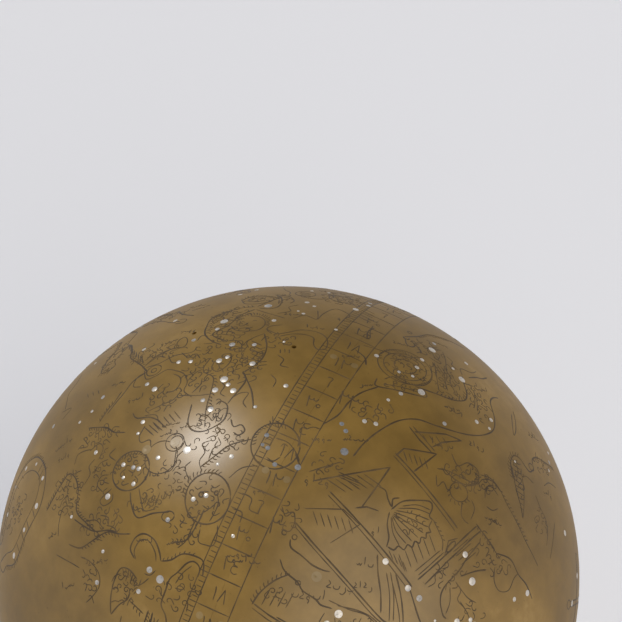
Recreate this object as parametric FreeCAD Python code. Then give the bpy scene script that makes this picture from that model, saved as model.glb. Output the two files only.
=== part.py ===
import FreeCAD, Part
import math
import os

# A hollow engraved celestial globe in two brass half shells, turning on a steel axle.
# Millimetres and degrees. The origin is the globe's centre. The axle lies along X, with
# the south celestial pole at +X. The shells meet on the plane of the ecliptic.

# ---- driving sizes ----------------------------------------------------------------
globe_diameter = 165.0
shell_wall = 1.8
seam_gap = 0.04

obliquity = 23.5          # between the axle and the ecliptic's poles
turn_at_rest = -26.0      # which way the ecliptic leans round the axle when stored

axle_radius = 2.0
pivot_step = 0.2          # the free ends are turned down by this all round
pivot_length = 8.0
pivot_chamfer = 0.4

bush_radius = 4.0
bush_reach = 5.0          # how far a bush stands into the globe
flange_radius = 6.0
flange_thickness = 1.0
spot_face_depth = 0.35
spot_face_margin = 0.8

collar_radius = 4.5
collar_length = 4.0
end_play = 0.3
pin_radius = 0.75         # taper pin, at its thick end
pin_taper = 50.0          # length for one unit of diameter
pin_proud = 0.7

ring_width = 12.0
ring_thickness = 1.6
rivet_radius = 1.0
rivet_head_radius = 1.8
rivet_head_height = 0.8
rivet_row = 3.2           # from the seam to each row of rivets
rivets_per_row = 12
first_rivet = 10.0        # ecliptic longitude

star_radius = {1: 1.10, 2: 0.86, 3: 0.66, 4: 0.50, 5: 0.38}
stud_depth = 1.0
stud_crown = 0.12
plug_radius = 1.4

# ---- named clearances -------------------------------------------------------------
running_clearance = 0.05  # axle in its bushes
press_clearance = 0.02    # pieces driven or soldered into their holes
lap_clearance = 0.06      # lap ring inside the shells
pin_clearance = 0.01

# ---- sizes that follow ------------------------------------------------------------
globe_radius = globe_diameter / 2
pivot_radius = axle_radius - pivot_step
inner_radius = globe_radius - shell_wall
ring_outer = inner_radius - lap_clearance
ring_inner = ring_outer - ring_thickness
flange_seat = globe_radius - spot_face_depth
flange_face = flange_seat + flange_thickness
bush_end = inner_radius - bush_reach
collar_start = flange_face + end_play
collar_end = collar_start + collar_length
axle_end = collar_end + pivot_length
cut_over = 2.0            # how far a cutting tool passes its work

origin = FreeCAD.Vector(0, 0, 0)
south_pole = FreeCAD.Vector(1, 0, 0)
no_reach = 1e-9            # degrees; below it a point is its figure's centre


def turned(degrees):
    """Cosine and sine of an angle in degrees."""
    return math.cos(math.radians(degrees)), math.sin(math.radians(degrees))


lean_cos, lean_sin = turned(obliquity)
rest_cos, rest_sin = turned(turn_at_rest)
ecliptic_south = FreeCAD.Vector(lean_cos, lean_sin * rest_cos, lean_sin * rest_sin)
ecliptic_north = -ecliptic_south
equinox = south_pole.cross(ecliptic_south).normalize()
solstice = ecliptic_north.cross(equinox)


def sky_point(longitude, latitude):
    """Unit vector to a place given by ecliptic longitude and latitude."""
    lon_cos, lon_sin = turned(longitude)
    lat_cos, lat_sin = turned(latitude)
    level = equinox * lon_cos + solstice * lon_sin
    return level * lat_cos + ecliptic_north * lat_sin


def figure_point(longitude, latitude, heading, across, along):
    """Unit vector to a point of a figure: degrees across and along it from its centre.

    The figure's own upward line points heading degrees east of ecliptic north.
    """
    centre = sky_point(longitude, latitude)
    east = ecliptic_north.cross(centre).normalize()
    north = centre.cross(east)
    head_cos, head_sin = turned(heading)
    upward = north * head_cos + east * head_sin
    right = east * head_cos - north * head_sin
    reach = math.hypot(across, along)
    if reach < no_reach:
        return centre
    reach_cos, reach_sin = turned(reach)
    return centre * reach_cos + (right * across + upward * along) * (reach_sin / reach)


# ---- the sky ----------------------------------------------------------------------
# Each figure: longitude, latitude, heading, then its stars as degrees across, degrees
# along and magnitude.
figures = {
    "spearman": (329, 15, 65, [
        (-5.5, 17.7, 1), (-6.7, 15.0, 3), (-11.3, 12.7, 3), (-3.4, 8.6, 2), (0.9, 7.8, 3),
        (-14.0, 6.5, 3), (-11.5, 5.7, 3), (-5.8, 4.2, 2), (-4.2, 4.9, 3), (0.7, 2.2, 2),
        (-20.5, 2.9, 3), (-18.8, 0.7, 2), (-4.7, -1.2, 1), (-3.9, -2.7, 3),
        (-6.4, -3.6, 2), (-2.9, -4.4, 2), (-8.8, -5.6, 3), (-7.3, -8.1, 2),
        (-21.2, -6.8, 3), (4.4, 16.1, 3), (6.6, 8.4, 5), (7.1, -4.0, 3), (1.3, -8.8, 4),
    ]),
    "twins": (307, 4, 65, [
        (-18.3, 6.2, 3), (-12.4, 7.0, 1), (-3.6, 4.9, 3), (-6.2, 3.5, 4), (2.9, 9.2, 3),
        (2.2, 7.2, 4), (3.2, 6.5, 3), (4.6, 3.1, 3), (8.9, 2.6, 2), (-8.3, -2.6, 3),
        (-10.8, -3.1, 3), (17.6, 6.4, 1), (17.0, 12.4, 3), (17.8, 10.9, 3), (21.4, 13.6, 3),
        (-15.9, -6.6, 3), (-3.1, -10.6, 4),
    ]),
    "crab": (297, 27, 60, [
        (1.4, 3.4, 3), (2.6, 2.9, 3), (-0.9, 4.5, 3), (-0.8, 1.8, 4), (1.5, 0.0, 3),
        (-4.4, -1.2, 2), (-8.0, 9.0, 3), (1.8, 10.6, 4), (-13.8, -2.8, 4),
        (-11.4, 19.8, 4), (-14.4, 18.2, 4),
    ]),
    "lion": (277, 12, 55, [
        (1.3, 6.9, 2), (3.2, 4.8, 1), (-1.7, 3.3, 3), (-10.9, 6.4, 3), (-12.7, -2.9, 3),
        (-16.5, -2.4, 4), (-14.5, -18.4, 1), (-8.7, 12.0, 4), (-21.6, -1.0, 3),
        (-18.0, -9.0, 4), (-4.5, -3.4, 5),
    ]),
    "ship": (309, -28, 70, [
        (-3.5, -3.0, 2), (1.8, -7.1, 2), (4.5, -8.5, 2), (13.0, 1.5, 2), (15.5, -3.2, 1),
        (13.7, -11.3, 2), (16.8, -10.4, 3), (18.0, -11.0, 3), (-10.6, -14.2, 1),
        (-12.4, -16.4, 2), (-9.7, -18.0, 4), (-8.4, -19.0, 3), (-3.2, -18.0, 4),
        (6.2, -17.0, 3), (8.2, -17.2, 1), (9.8, -18.2, 4), (6.3, -19.3, 3), (9.3, -20.3, 3),
        (5.0, -21.5, 3), (16.2, -21.3, 3), (16.9, -17.3, 4), (8.8, -12.0, 5),
    ]),
    "maiden": (344, -14, 55, [
        (7.1, 13.1, 1), (8.7, 16.2, 3), (15.8, 13.5, 3), (12.1, 6.2, 1), (10.7, 8.8, 4),
        (3.3, 8.3, 3), (1.4, 5.4, 3), (-6.8, 6.9, 3), (-3.0, 3.0, 4), (-0.2, 2.5, 4),
        (0.9, -1.4, 1), (-3.7, -2.8, 3), (-6.6, -4.8, 4), (17.5, -2.2, 3), (13.2, -4.6, 3),
        (16.5, -4.8, 4), (5.0, -7.9, 3), (-9.8, -10.7, 3),
    ]),
    "drawn_bow": (353, 20, 70, [
        (-0.8, -0.1, 1), (6.7, 1.9, 3), (8.1, 0.0, 4), (6.0, -4.0, 4), (16.2, 1.8, 2),
        (19.2, 9.0, 3), (18.8, 6.5, 3), (-6.5, 10.3, 3), (-3.3, 13.4, 3), (12.3, -9.3, 4),
        (7.6, 11.2, 4), (11.0, 11.2, 4), (5.0, -2.9, 5),
    ]),
    "great_bear": (342, 49, 95, [
        (7.5, -4.4, 3), (9.1, 5.7, 3), (2.9, -16.6, 3), (-12.0, -17.8, 3),
        (-3.0, 9.6, 3), (-13.0, 5.0, 3), (-20.5, 13.5, 2), (-8.5, -1.4, 4),
    ]),
    "heron": (344, -42, 50, [
        (16.7, 12.6, 3), (19.6, -2.0, 2), (5.9, -19.0, 2), (2.3, -21.3, 3), (18.6, 15.8, 4),
        (14.8, 9.8, 4), (0.6, 6.2, 5),
    ]),
    "hound": (288, -19, 70, [
        (-8.7, -8.9, 2), (2.7, -5.9, 3), (6.4, -6.6, 3), (14.1, -8.6, 3),
        (-14.0, -16.0, 3), (-4.5, -15.5, 2), (3.5, -14.0, 3), (9.5, -13.0, 4),
    ]),
    "dragon": (285, 56, 40, [
        (-12.0, 2.0, 3), (-8.0, 6.0, 4), (-3.0, 7.0, 3), (2.0, 4.5, 4), (5.0, -1.0, 3),
        (2.5, -6.0, 2), (-3.0, -8.0, 3), (-9.0, -10.0, 2),
    ]),
    "little_bear": (0, 74, 0, [
        (0.0, 0.0, 1), (4.0, 2.5, 3), (7.5, 1.5, 3), (10.5, -1.5, 2), (14.5, -0.5, 2),
        (14.0, -4.5, 3), (10.0, -5.5, 3),
    ]),
    "ram": (24, 10, 10, [
        (-7.0, 5.0, 1), (-4.5, 6.0, 3), (-1.0, 3.5, 3), (3.5, 2.5, 3), (7.5, 1.0, 4),
        (5.0, -4.0, 3), (-3.0, -4.5, 4), (9.5, 4.5, 4),
    ]),
    "bull": (58, -9, 5, [
        (-2.0, 1.0, 1), (-3.5, 2.5, 3), (-5.0, 1.5, 3), (-3.0, -0.6, 4), (1.0, 3.0, 3),
        (6.5, 5.5, 2), (9.5, 1.0, 2), (-9.0, -1.0, 3), (-6.5, -5.5, 4), (3.5, -6.0, 3),
        (8.0, 9.0, 4), (9.2, 9.8, 4), (7.0, 10.2, 5), (8.6, 10.9, 5),
    ]),
    "wagoner": (88, 22, -5, [
        (-3.5, 7.5, 1), (4.5, 7.0, 2), (6.5, 0.0, 2), (1.0, -7.5, 2), (-6.0, -3.0, 3),
        (-5.0, 3.5, 4), (-6.2, 2.4, 4), (0.5, 2.0, 4),
    ]),
    "rearing_horse": (128, 32, 15, [
        (-8.0, -5.0, 2), (-7.0, 6.0, 2), (5.0, 6.5, 2), (5.5, -5.0, 2), (11.0, 9.0, 3),
        (14.5, 11.0, 3), (18.0, 7.5, 2), (9.5, -9.0, 4), (1.0, 10.5, 4),
    ]),
    "fishes": (115, -3, -10, [
        (-12.0, 4.0, 3), (-9.0, 5.5, 4), (-6.0, 3.0, 4), (0.0, -2.5, 3), (5.0, 0.5, 4),
        (9.0, 3.5, 3), (12.5, 2.0, 4), (11.0, -1.5, 4), (14.6, 0.6, 4),
    ]),
    "sea_goat": (152, -8, 8, [
        (-8.5, 3.5, 2), (-7.5, 1.5, 2), (-2.0, 1.0, 4), (3.0, -2.5, 4), (8.0, -1.0, 3),
        (11.5, 2.5, 2), (-3.5, -5.5, 3), (5.5, 3.5, 4),
    ]),
    "swan": (172, 48, -30, [
        (0.0, 10.0, 1), (0.0, 4.0, 2), (0.5, -2.0, 3), (1.0, -10.0, 2), (-7.0, 3.5, 2),
        (7.0, 5.0, 2), (-11.5, 0.5, 4), (11.5, 1.5, 3),
    ]),
    "archer": (190, -10, 5, [
        (-6.0, 1.5, 2), (-3.0, 4.5, 3), (0.0, 1.0, 2), (1.5, -3.0, 2), (-4.0, -4.0, 3),
        (6.0, 2.0, 4), (9.0, -2.5, 3), (8.5, -7.5, 4), (-9.5, 4.0, 4),
    ]),
    "scorpion": (226, -8, -5, [
        (-1.0, 2.0, 1), (-3.5, 3.0, 3), (1.5, 0.5, 3), (-7.5, 7.0, 2), (-9.0, 2.5, 3),
        (-8.0, -2.0, 3), (5.0, -4.5, 3), (8.5, -7.0, 3), (12.0, -5.5, 2), (12.5, -2.0, 2),
        (3.0, -2.0, 4),
    ]),
    "serpent_bearer": (222, 34, 0, [
        (0.0, 11.5, 2), (-6.0, 6.0, 3), (6.0, 6.5, 3), (-4.0, -5.0, 2), (4.5, -5.5, 2),
        (-11.5, 1.0, 3), (12.0, 2.0, 3), (-15.5, 5.0, 2), (15.5, 6.5, 3), (-1.0, 1.0, 4),
    ]),
    "altar": (205, -46, 0, [
        (-4.0, 5.0, 3), (4.0, 5.5, 2), (0.5, 9.0, 3), (-5.0, -3.0, 3), (5.5, -3.5, 3),
        (0.0, 0.5, 4),
    ]),
    "river": (95, -45, 0, [
        (-13.0, 9.0, 2), (-9.0, 6.0, 4), (-5.0, 8.0, 3), (0.0, 5.5, 4), (5.0, 7.5, 3),
        (10.0, 4.0, 3), (7.0, -1.0, 3), (1.0, -3.0, 4), (-5.0, -6.0, 3), (-11.0, -9.5, 1),
    ]),
    "sea_monster": (45, -40, 20, [
        (-9.0, 6.0, 2), (-7.0, 2.5, 3), (-3.0, 3.5, 4), (2.0, 1.0, 3), (6.5, -2.0, 3),
        (11.0, -1.0, 2), (12.5, 4.5, 3), (-1.0, -4.0, 4),
    ]),
    "southern_fish": (155, -42, -15, [
        (7.5, -1.0, 1), (3.0, 1.5, 4), (-2.0, 2.0, 4), (-6.5, 0.5, 3), (-2.5, -2.5, 4),
        (3.5, -3.0, 4),
    ]),
    "centaur": (258, -48, 10, [
        (-6.0, -7.0, 1), (-2.0, -6.0, 2), (2.5, 2.0, 3), (-1.5, 6.5, 3), (5.0, 8.0, 3),
        (8.5, -3.0, 3), (10.0, -8.5, 4), (-7.5, 3.5, 4),
    ]),
    "cross_of_oars": (20, -72, 0, [
        (0.0, 6.0, 2), (0.0, -5.0, 1), (-4.5, 0.5, 2), (4.0, 1.5, 3), (9.0, -6.0, 4),
    ]),
}

# Seats whose studs have dropped out, and plugs that close the casting's vents, placed
# in a figure's own degrees.
empty_seats = [("spearman", -11.4, 15.4), ("spearman", 8.5, 6.8)]
empty_seat_magnitude = 3
vent_plugs = [
    ("crab", 10.0, 7.1), ("crab", 4.1, 6.6), ("rearing_horse", -2.0, 1.5),
    ("serpent_bearer", 1.0, -11.0), ("ship", -16.0, -8.0), ("sea_monster", 3.0, 8.0),
    ("altar", 8.0, 3.0), ("scorpion", 2.0, -11.0),
]


# ---- helpers ----------------------------------------------------------------------
def write(node, shape):
    """Write one node's file."""
    shape.exportStep("parts/" + node + ".step")


def aimed(shape, direction):
    """A copy of a shape made round +Z, turned to stand along a direction."""
    copy = shape.copy()
    turn = FreeCAD.Rotation(FreeCAD.Vector(0, 0, 1), direction)
    copy.Placement = FreeCAD.Placement(origin, turn)
    return copy


def crowned_pin(radius, inner, edge, crown_top):
    """A round pin round +Z whose outer end is a shallow crown, from edge to crown_top."""
    rise = crown_top - edge
    crown_radius = (radius ** 2 + rise ** 2) / (2 * rise)
    half_angle = math.asin(radius / crown_radius) / 2
    middle_x = crown_radius * math.sin(half_angle)
    middle_z = crown_top - crown_radius * (1 - math.cos(half_angle))
    foot = FreeCAD.Vector(0, 0, inner)
    foot_rim = FreeCAD.Vector(radius, 0, inner)
    rim = FreeCAD.Vector(radius, 0, edge)
    top = FreeCAD.Vector(0, 0, crown_top)
    profile = Part.Wire([
        Part.LineSegment(foot, foot_rim).toShape(),
        Part.LineSegment(foot_rim, rim).toShape(),
        Part.Arc(rim, FreeCAD.Vector(middle_x, 0, middle_z), top).toShape(),
        Part.LineSegment(top, foot).toShape(),
    ])
    return Part.Face(profile).revolve(origin, FreeCAD.Vector(0, 0, 1), 360)


def spherical_zone(outer, inner, low, high):
    """The wall between two spheres from one height along +Z to another.

    A high of None closes the wall at its pole.
    """

    def corner(radius, height):
        level = radius if height is None else height
        return FreeCAD.Vector(math.sqrt(radius ** 2 - level ** 2), 0, level)

    def middle(radius):
        start = math.asin(low / radius)
        end = math.pi / 2 if high is None else math.asin(high / radius)
        half_way = (start + end) / 2
        return FreeCAD.Vector(radius * math.cos(half_way), 0, radius * math.sin(half_way))

    outside = Part.Arc(corner(outer, low), middle(outer), corner(outer, high))
    inside = Part.Arc(corner(inner, low), middle(inner), corner(inner, high))
    section = Part.Wire([
        outside.toShape(),
        Part.LineSegment(corner(outer, high), corner(inner, high)).toShape(),
        inside.toShape(),
        Part.LineSegment(corner(inner, low), corner(outer, low)).toShape(),
    ])
    return Part.Face(section).revolve(origin, FreeCAD.Vector(0, 0, 1), 360)


def rim_height(radius):
    """How far from the centre the globe's surface is, at a radius from a pin's axis."""
    return math.sqrt(globe_radius ** 2 - radius ** 2)


def in_north(direction):
    """True for a place on the ecliptic's northern side."""
    return direction.dot(ecliptic_north) > 0


def reaching(places, radius, side):
    """The places whose hole of a given radius bites into the shell on one side."""
    return [place for place in places if place.dot(side) * globe_radius > -radius]


# ---- where everything that pierces a shell goes -------------------------------------
studs = {}
for longitude, latitude, heading, stars in figures.values():
    for across, along, magnitude in stars:
        place = figure_point(longitude, latitude, heading, across, along)
        studs.setdefault((in_north(place), magnitude), []).append(place)

seats = {magnitude: [] for magnitude in star_radius}
for (north, magnitude), places in studs.items():
    seats[magnitude] += places
for name, across, along in empty_seats:
    longitude, latitude, heading, stars = figures[name]
    place = figure_point(longitude, latitude, heading, across, along)
    seats[empty_seat_magnitude].append(place)

plugs = {True: [], False: []}
for name, across, along in vent_plugs:
    longitude, latitude, heading, stars = figures[name]
    place = figure_point(longitude, latitude, heading, across, along)
    plugs[in_north(place)].append(place)

rivet_latitude = math.degrees(math.asin(rivet_row / globe_radius))
rivet_spacing = 360.0 / rivets_per_row
rivets = {
    north: [
        sky_point(first_rivet + index * rivet_spacing, rivet_latitude * (1 if north else -1))
        for index in range(rivets_per_row)
    ]
    for north in (True, False)
}


# ---- shells -------------------------------------------------------------------------
def bush_cutters(pole):
    """The bore and the flat seat that a bush needs at one pole."""
    bore = Part.makeCylinder(
        bush_radius + press_clearance,
        globe_radius + cut_over - bush_end,
        pole * bush_end,
        pole,
    )
    spot_face = Part.makeCylinder(
        flange_radius + spot_face_margin, cut_over, pole * flange_seat, pole
    )
    return [bore, spot_face]


def half_shell(north):
    """One half of the globe, drilled for its bush, studs, plugs and rivets."""
    pole = -south_pole if north else south_pole
    side = ecliptic_north if north else ecliptic_south
    shell = aimed(spherical_zone(globe_radius, inner_radius, seam_gap / 2, None), side)
    cutters = bush_cutters(pole)
    for magnitude, radius in star_radius.items():
        seat = Part.makeCylinder(
            radius + press_clearance,
            stud_depth + cut_over,
            FreeCAD.Vector(0, 0, globe_radius - stud_depth),
        )
        bitten = reaching(seats[magnitude], radius + press_clearance, side)
        cutters += [aimed(seat, place) for place in bitten]
    for radius, places in ((plug_radius, plugs[north]), (rivet_radius, rivets[north])):
        hole = Part.makeCylinder(
            radius + press_clearance,
            shell_wall + 2 * cut_over,
            FreeCAD.Vector(0, 0, inner_radius - cut_over),
        )
        cutters += [aimed(hole, place) for place in places]
    return shell.cut(cutters)


def lap_ring():
    """The ring inside the seam that both shells are riveted to."""
    ring = spherical_zone(ring_outer, ring_inner, -ring_width / 2, ring_width / 2)
    ring = aimed(ring, ecliptic_north)
    hole = Part.makeCylinder(
        rivet_radius + press_clearance,
        ring_thickness + 2 * cut_over,
        FreeCAD.Vector(0, 0, ring_inner - cut_over),
    )
    return ring.cut([aimed(hole, place) for place in rivets[True] + rivets[False]])


def seam_rivet():
    """One rivet round +Z: a head inside the lap ring, its outer end filed to the globe."""
    under_head = ring_inner - lap_clearance
    head = Part.makeCylinder(
        rivet_head_radius,
        rivet_head_height,
        FreeCAD.Vector(0, 0, under_head - rivet_head_height),
    )
    shank = crowned_pin(rivet_radius, under_head, rim_height(rivet_radius), globe_radius)
    return head.fuse(shank).removeSplitter()


# ---- axle pieces --------------------------------------------------------------------
def bush(pole):
    """A flanged bush soldered through the shell at one pole."""
    body = Part.makeCylinder(bush_radius, flange_face - bush_end, pole * bush_end, pole)
    flange = Part.makeCylinder(flange_radius, flange_thickness, pole * flange_seat, pole)
    bore = Part.makeCylinder(
        axle_radius + running_clearance,
        flange_face - bush_end + 2 * cut_over,
        pole * (bush_end - cut_over),
        pole,
    )
    return body.fuse(flange).removeSplitter().cut(bore)


def taper_pin(extra):
    """A taper pin round +Z through the middle, grown by extra all round."""
    half_length = collar_radius + pin_proud
    thin_radius = pin_radius - half_length / pin_taper
    return Part.makeCone(
        pin_radius + extra,
        thin_radius + extra,
        2 * half_length,
        FreeCAD.Vector(0, 0, -half_length),
    )


def at_collar(shape, pole):
    """A shape moved along the axle to the middle of one collar."""
    copy = shape.copy()
    copy.translate(pole * ((collar_start + collar_end) / 2))
    return copy


def collar(pole):
    """The collar that keeps one bush on the axle."""
    ring = Part.makeCylinder(collar_radius, collar_length, pole * collar_start, pole)
    bore = Part.makeCylinder(
        axle_radius + press_clearance,
        collar_length + 2 * cut_over,
        pole * (collar_start - cut_over),
        pole,
    )
    return ring.cut([bore, at_collar(taper_pin(pin_clearance), pole)])


def axle_rod():
    """The rod through both poles, turned down to a pivot at each end."""
    rod = Part.makeCylinder(axle_radius, 2 * collar_end, -south_pole * collar_end, south_pole)
    for pole in (south_pole, -south_pole):
        straight = Part.makeCylinder(
            pivot_radius, pivot_length - pivot_chamfer, pole * collar_end, pole
        )
        tip = Part.makeCone(
            pivot_radius,
            pivot_radius - pivot_chamfer,
            pivot_chamfer,
            pole * (axle_end - pivot_chamfer),
            pole,
        )
        rod = rod.fuse([straight, tip])
    holes = [at_collar(taper_pin(pin_clearance), pole) for pole in (south_pole, -south_pole)]
    return rod.removeSplitter().cut(holes)


# ---- write every node ---------------------------------------------------------------
os.makedirs("parts", exist_ok=True)

write("axle_rod", axle_rod())
write("seam_ring", lap_ring())
magnitude_names = {1: "first", 2: "second", 3: "third", 4: "fourth", 5: "fifth"}

for north, prefix, pole in ((True, "north", -south_pole), (False, "south", south_pole)):
    write(prefix + "_shell", half_shell(north))
    write(prefix + "_bush", bush(pole))
    write(prefix + "_collar", collar(pole))
    write(prefix + "_taper_pin", at_collar(taper_pin(0), pole))
    rivet = seam_rivet()
    rivet_group = Part.makeCompound([aimed(rivet, place) for place in rivets[north]])
    write(prefix + "_seam_rivets", rivet_group)
    plug = crowned_pin(plug_radius, inner_radius, rim_height(plug_radius), globe_radius)
    write(prefix + "_vent_plugs", Part.makeCompound([aimed(plug, p) for p in plugs[north]]))
    for magnitude, word in magnitude_names.items():
        radius = star_radius[magnitude]
        stud = crowned_pin(
            radius,
            globe_radius - stud_depth + press_clearance,
            rim_height(radius),
            globe_radius + stud_crown,
        )
        group = [aimed(stud, place) for place in studs[(north, magnitude)]]
        write(prefix + "_" + word + "_magnitude_studs", Part.makeCompound(group))

print("axle end", axle_end, "studs", sum(len(group) for group in studs.values()))
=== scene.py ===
import math

import bmesh
import bpy
import numpy as np
from mathutils import Matrix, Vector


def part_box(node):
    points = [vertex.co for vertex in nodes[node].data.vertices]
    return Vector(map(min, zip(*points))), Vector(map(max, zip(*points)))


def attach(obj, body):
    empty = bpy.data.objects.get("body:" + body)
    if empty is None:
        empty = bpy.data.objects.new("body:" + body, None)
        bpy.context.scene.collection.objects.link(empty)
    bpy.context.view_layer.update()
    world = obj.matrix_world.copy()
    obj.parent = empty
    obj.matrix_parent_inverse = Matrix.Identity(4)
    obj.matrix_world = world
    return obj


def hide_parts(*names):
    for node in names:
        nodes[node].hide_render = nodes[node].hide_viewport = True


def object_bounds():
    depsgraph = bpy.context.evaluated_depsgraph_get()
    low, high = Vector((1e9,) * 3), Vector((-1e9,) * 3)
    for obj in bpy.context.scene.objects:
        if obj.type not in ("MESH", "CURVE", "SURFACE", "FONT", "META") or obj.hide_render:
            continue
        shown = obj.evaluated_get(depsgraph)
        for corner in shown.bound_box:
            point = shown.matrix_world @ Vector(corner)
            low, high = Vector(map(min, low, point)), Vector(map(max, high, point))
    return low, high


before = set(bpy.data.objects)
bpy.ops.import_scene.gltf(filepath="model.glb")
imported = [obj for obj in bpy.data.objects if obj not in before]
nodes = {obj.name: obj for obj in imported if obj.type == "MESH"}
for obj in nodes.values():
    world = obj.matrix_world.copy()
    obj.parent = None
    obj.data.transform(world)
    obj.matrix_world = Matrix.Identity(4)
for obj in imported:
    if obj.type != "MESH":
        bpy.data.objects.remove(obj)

cad_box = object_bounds()

# ---------------------------------------------------------------------------------------
# The view. The globe lies on a table with its axle level and is seen from above and from
# the south-east, so close that its lower part runs out of the picture. The lens is long.
globe_radius = max(float(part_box(node)[1][2]) for node in ("north_shell", "south_shell"))
view_azimuth = math.radians(45.8)
view_elevation = math.radians(43.0)
view_distance = 17 * globe_radius
picture_side = 622
globe_in_picture = 291
centre_in_picture = (287, 577)

to_camera = np.array([
    math.sin(view_azimuth) * math.cos(view_elevation),
    -math.cos(view_azimuth) * math.cos(view_elevation),
    math.sin(view_elevation),
])
view_right = np.array([math.cos(view_azimuth), math.sin(view_azimuth), 0.0])
view_up = np.cross(to_camera, view_right)


def unit(vector):
    """A vector scaled to length 1."""
    return vector / np.linalg.norm(vector)


def look(thing, place, target):
    """Stand a camera or lamp at a place and point it at a target."""
    back = unit(place - target)
    side = unit(np.cross([0.0, 0.0, 1.0], back))
    columns = np.column_stack([side, np.cross(back, side), back, place])
    thing.matrix_world = Matrix(np.vstack([columns, [0.0, 0.0, 0.0, 1.0]]).tolist())


limb_slope = math.tan(math.asin(globe_radius / view_distance))
focal_in_picture = globe_in_picture / limb_slope
off_right = (picture_side / 2 - centre_in_picture[0]) / focal_in_picture * view_distance
off_up = (centre_in_picture[1] - picture_side / 2) / focal_in_picture * view_distance

camera = bpy.data.objects.new("camera", bpy.data.cameras.new("camera"))
bpy.context.collection.objects.link(camera)
camera.data.lens = focal_in_picture / picture_side * camera.data.sensor_width
camera.data.clip_start = 0.01
look(camera, to_camera * view_distance, view_right * off_right + view_up * off_up)
bpy.context.scene.camera = camera
bpy.context.scene.view_settings.view_transform = "Standard"

# ---------------------------------------------------------------------------------------
# The studio. A soft key light over the globe's north side, a wide weak one opposite, a pale
# surround that darkens overhead and a plain pale floor. None of it belongs to the globe.
mm = 0.001
key_direction = view_right * -0.475 + view_up * 0.763 + to_camera * 0.438
fill_direction = view_right * 0.50 - view_up * 0.16 + to_camera * 0.85
for name, direction, spread, strength, tint in (
        ("key", key_direction, 14.0, 1.75, (0.96, 0.98, 1.0)),
        ("fill", fill_direction, 70.0, 1.62, (1.0, 0.96, 0.87))):
    lamp = bpy.data.objects.new(name, bpy.data.lights.new(name, "SUN"))
    lamp.data.angle = math.radians(spread)
    lamp.data.energy = strength
    lamp.data.color = tint
    bpy.context.collection.objects.link(lamp)
    look(lamp, unit(direction), np.zeros(3))


class Signal:
    """A socket of a material's nodes. Arithmetic on it adds Math nodes."""

    def __init__(self, tree, socket=None):
        self.tree = tree
        self.socket = socket

    def node(self, kind, settings=None, inputs=None, output=0):
        """Add a node: settings first, then values or links for its inputs."""
        made = self.tree.nodes.new(kind)
        for key, value in (settings or {}).items():
            setattr(made, key, value)
        for key, value in (inputs or {}).items():
            if isinstance(value, Signal):
                self.tree.links.new(value.socket, made.inputs[key])
            else:
                made.inputs[key].default_value = value
        return Signal(self.tree, made.outputs[output])

    def maths(self, operation, first, second):
        return self.node("ShaderNodeMath", {"operation": operation}, {0: first, 1: second})

    def __add__(self, other):
        return self.maths("ADD", self, other)

    __radd__ = __add__

    def __sub__(self, other):
        return self.maths("SUBTRACT", self, other)

    def __rsub__(self, other):
        return self.maths("SUBTRACT", other, self)

    def __mul__(self, other):
        return self.maths("MULTIPLY", self, other)

    __rmul__ = __mul__

    def clipped(self, low, high):
        """0 where the signal is at low or under, 1 at high or over, smooth between."""
        settings = {"interpolation_type": "SMOOTHSTEP"}
        values = {"Value": self, "From Min": low, "From Max": high}
        return self.node("ShaderNodeMapRange", settings, values)

    def mixed(self, first, second):
        """A colour between two, by this signal."""
        inputs = {0: self, 6: first, 7: second}
        return self.node("ShaderNodeMix", {"data_type": "RGBA"}, inputs, output=2)


world = bpy.data.worlds.new("surround")
bpy.context.scene.world = world
world.use_nodes = True
sky_tree = Signal(world.node_tree)
sky_direction = sky_tree.node("ShaderNodeTexCoord", output="Generated")
height = sky_tree.node("ShaderNodeSeparateXYZ", {}, {0: sky_direction}, output="Z")
overhead = height.clipped(0.10, 0.55)
horizon_colour = (0.58, 0.58, 0.60, 1.0)
zenith_colour = (0.12, 0.12, 0.125, 1.0)
sky_colour = overhead.mixed(horizon_colour, zenith_colour)
world.node_tree.links.new(sky_colour.socket, world.node_tree.nodes["Background"].inputs["Color"])

floor_reach = 60.0
floor_gap = 0.2 * mm
floor_mesh = bmesh.new()
bmesh.ops.create_grid(floor_mesh, x_segments=8, y_segments=8, size=floor_reach)
floor = bpy.data.objects.new("floor", bpy.data.meshes.new("floor"))
floor_mesh.to_mesh(floor.data)
floor_mesh.free()
floor.location.z = float(cad_box[0][2]) - floor_gap
bpy.context.collection.objects.link(floor)
floor_paint = bpy.data.materials.new("pale_floor")
floor_paint.use_nodes = True
floor_shader = floor_paint.node_tree.nodes["Principled BSDF"]
floor_shader.inputs["Base Color"].default_value = (0.84, 0.835, 0.87, 1.0)
floor_shader.inputs["Roughness"].default_value = 0.9
floor_shader.inputs["Specular IOR Level"].default_value = 0.1
floor.data.materials.append(floor_paint)

# ---------------------------------------------------------------------------------------
# Half shells: two cast and turned brass bowls 1.8 mm thick that meet on the plane of the
# ecliptic. Each is bored and spot faced for its bush. Two studs have dropped out of the
# northern one, and their blind seats are open.
obliquity = math.radians(23.5)
turn_at_rest = math.radians(-26.0)
shell_wall = 1.8 * mm
seam_gap = 0.04 * mm
rings_to_pole = 120
inner_rings = 16
steps_round = 480

south_pole = np.array([1.0, 0.0, 0.0])
ecliptic_north = -np.array([
    math.cos(obliquity),
    math.sin(obliquity) * math.cos(turn_at_rest),
    math.sin(obliquity) * math.sin(turn_at_rest),
])
equinox = unit(np.cross(south_pole, -ecliptic_north))
solstice = np.cross(ecliptic_north, equinox)


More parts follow.
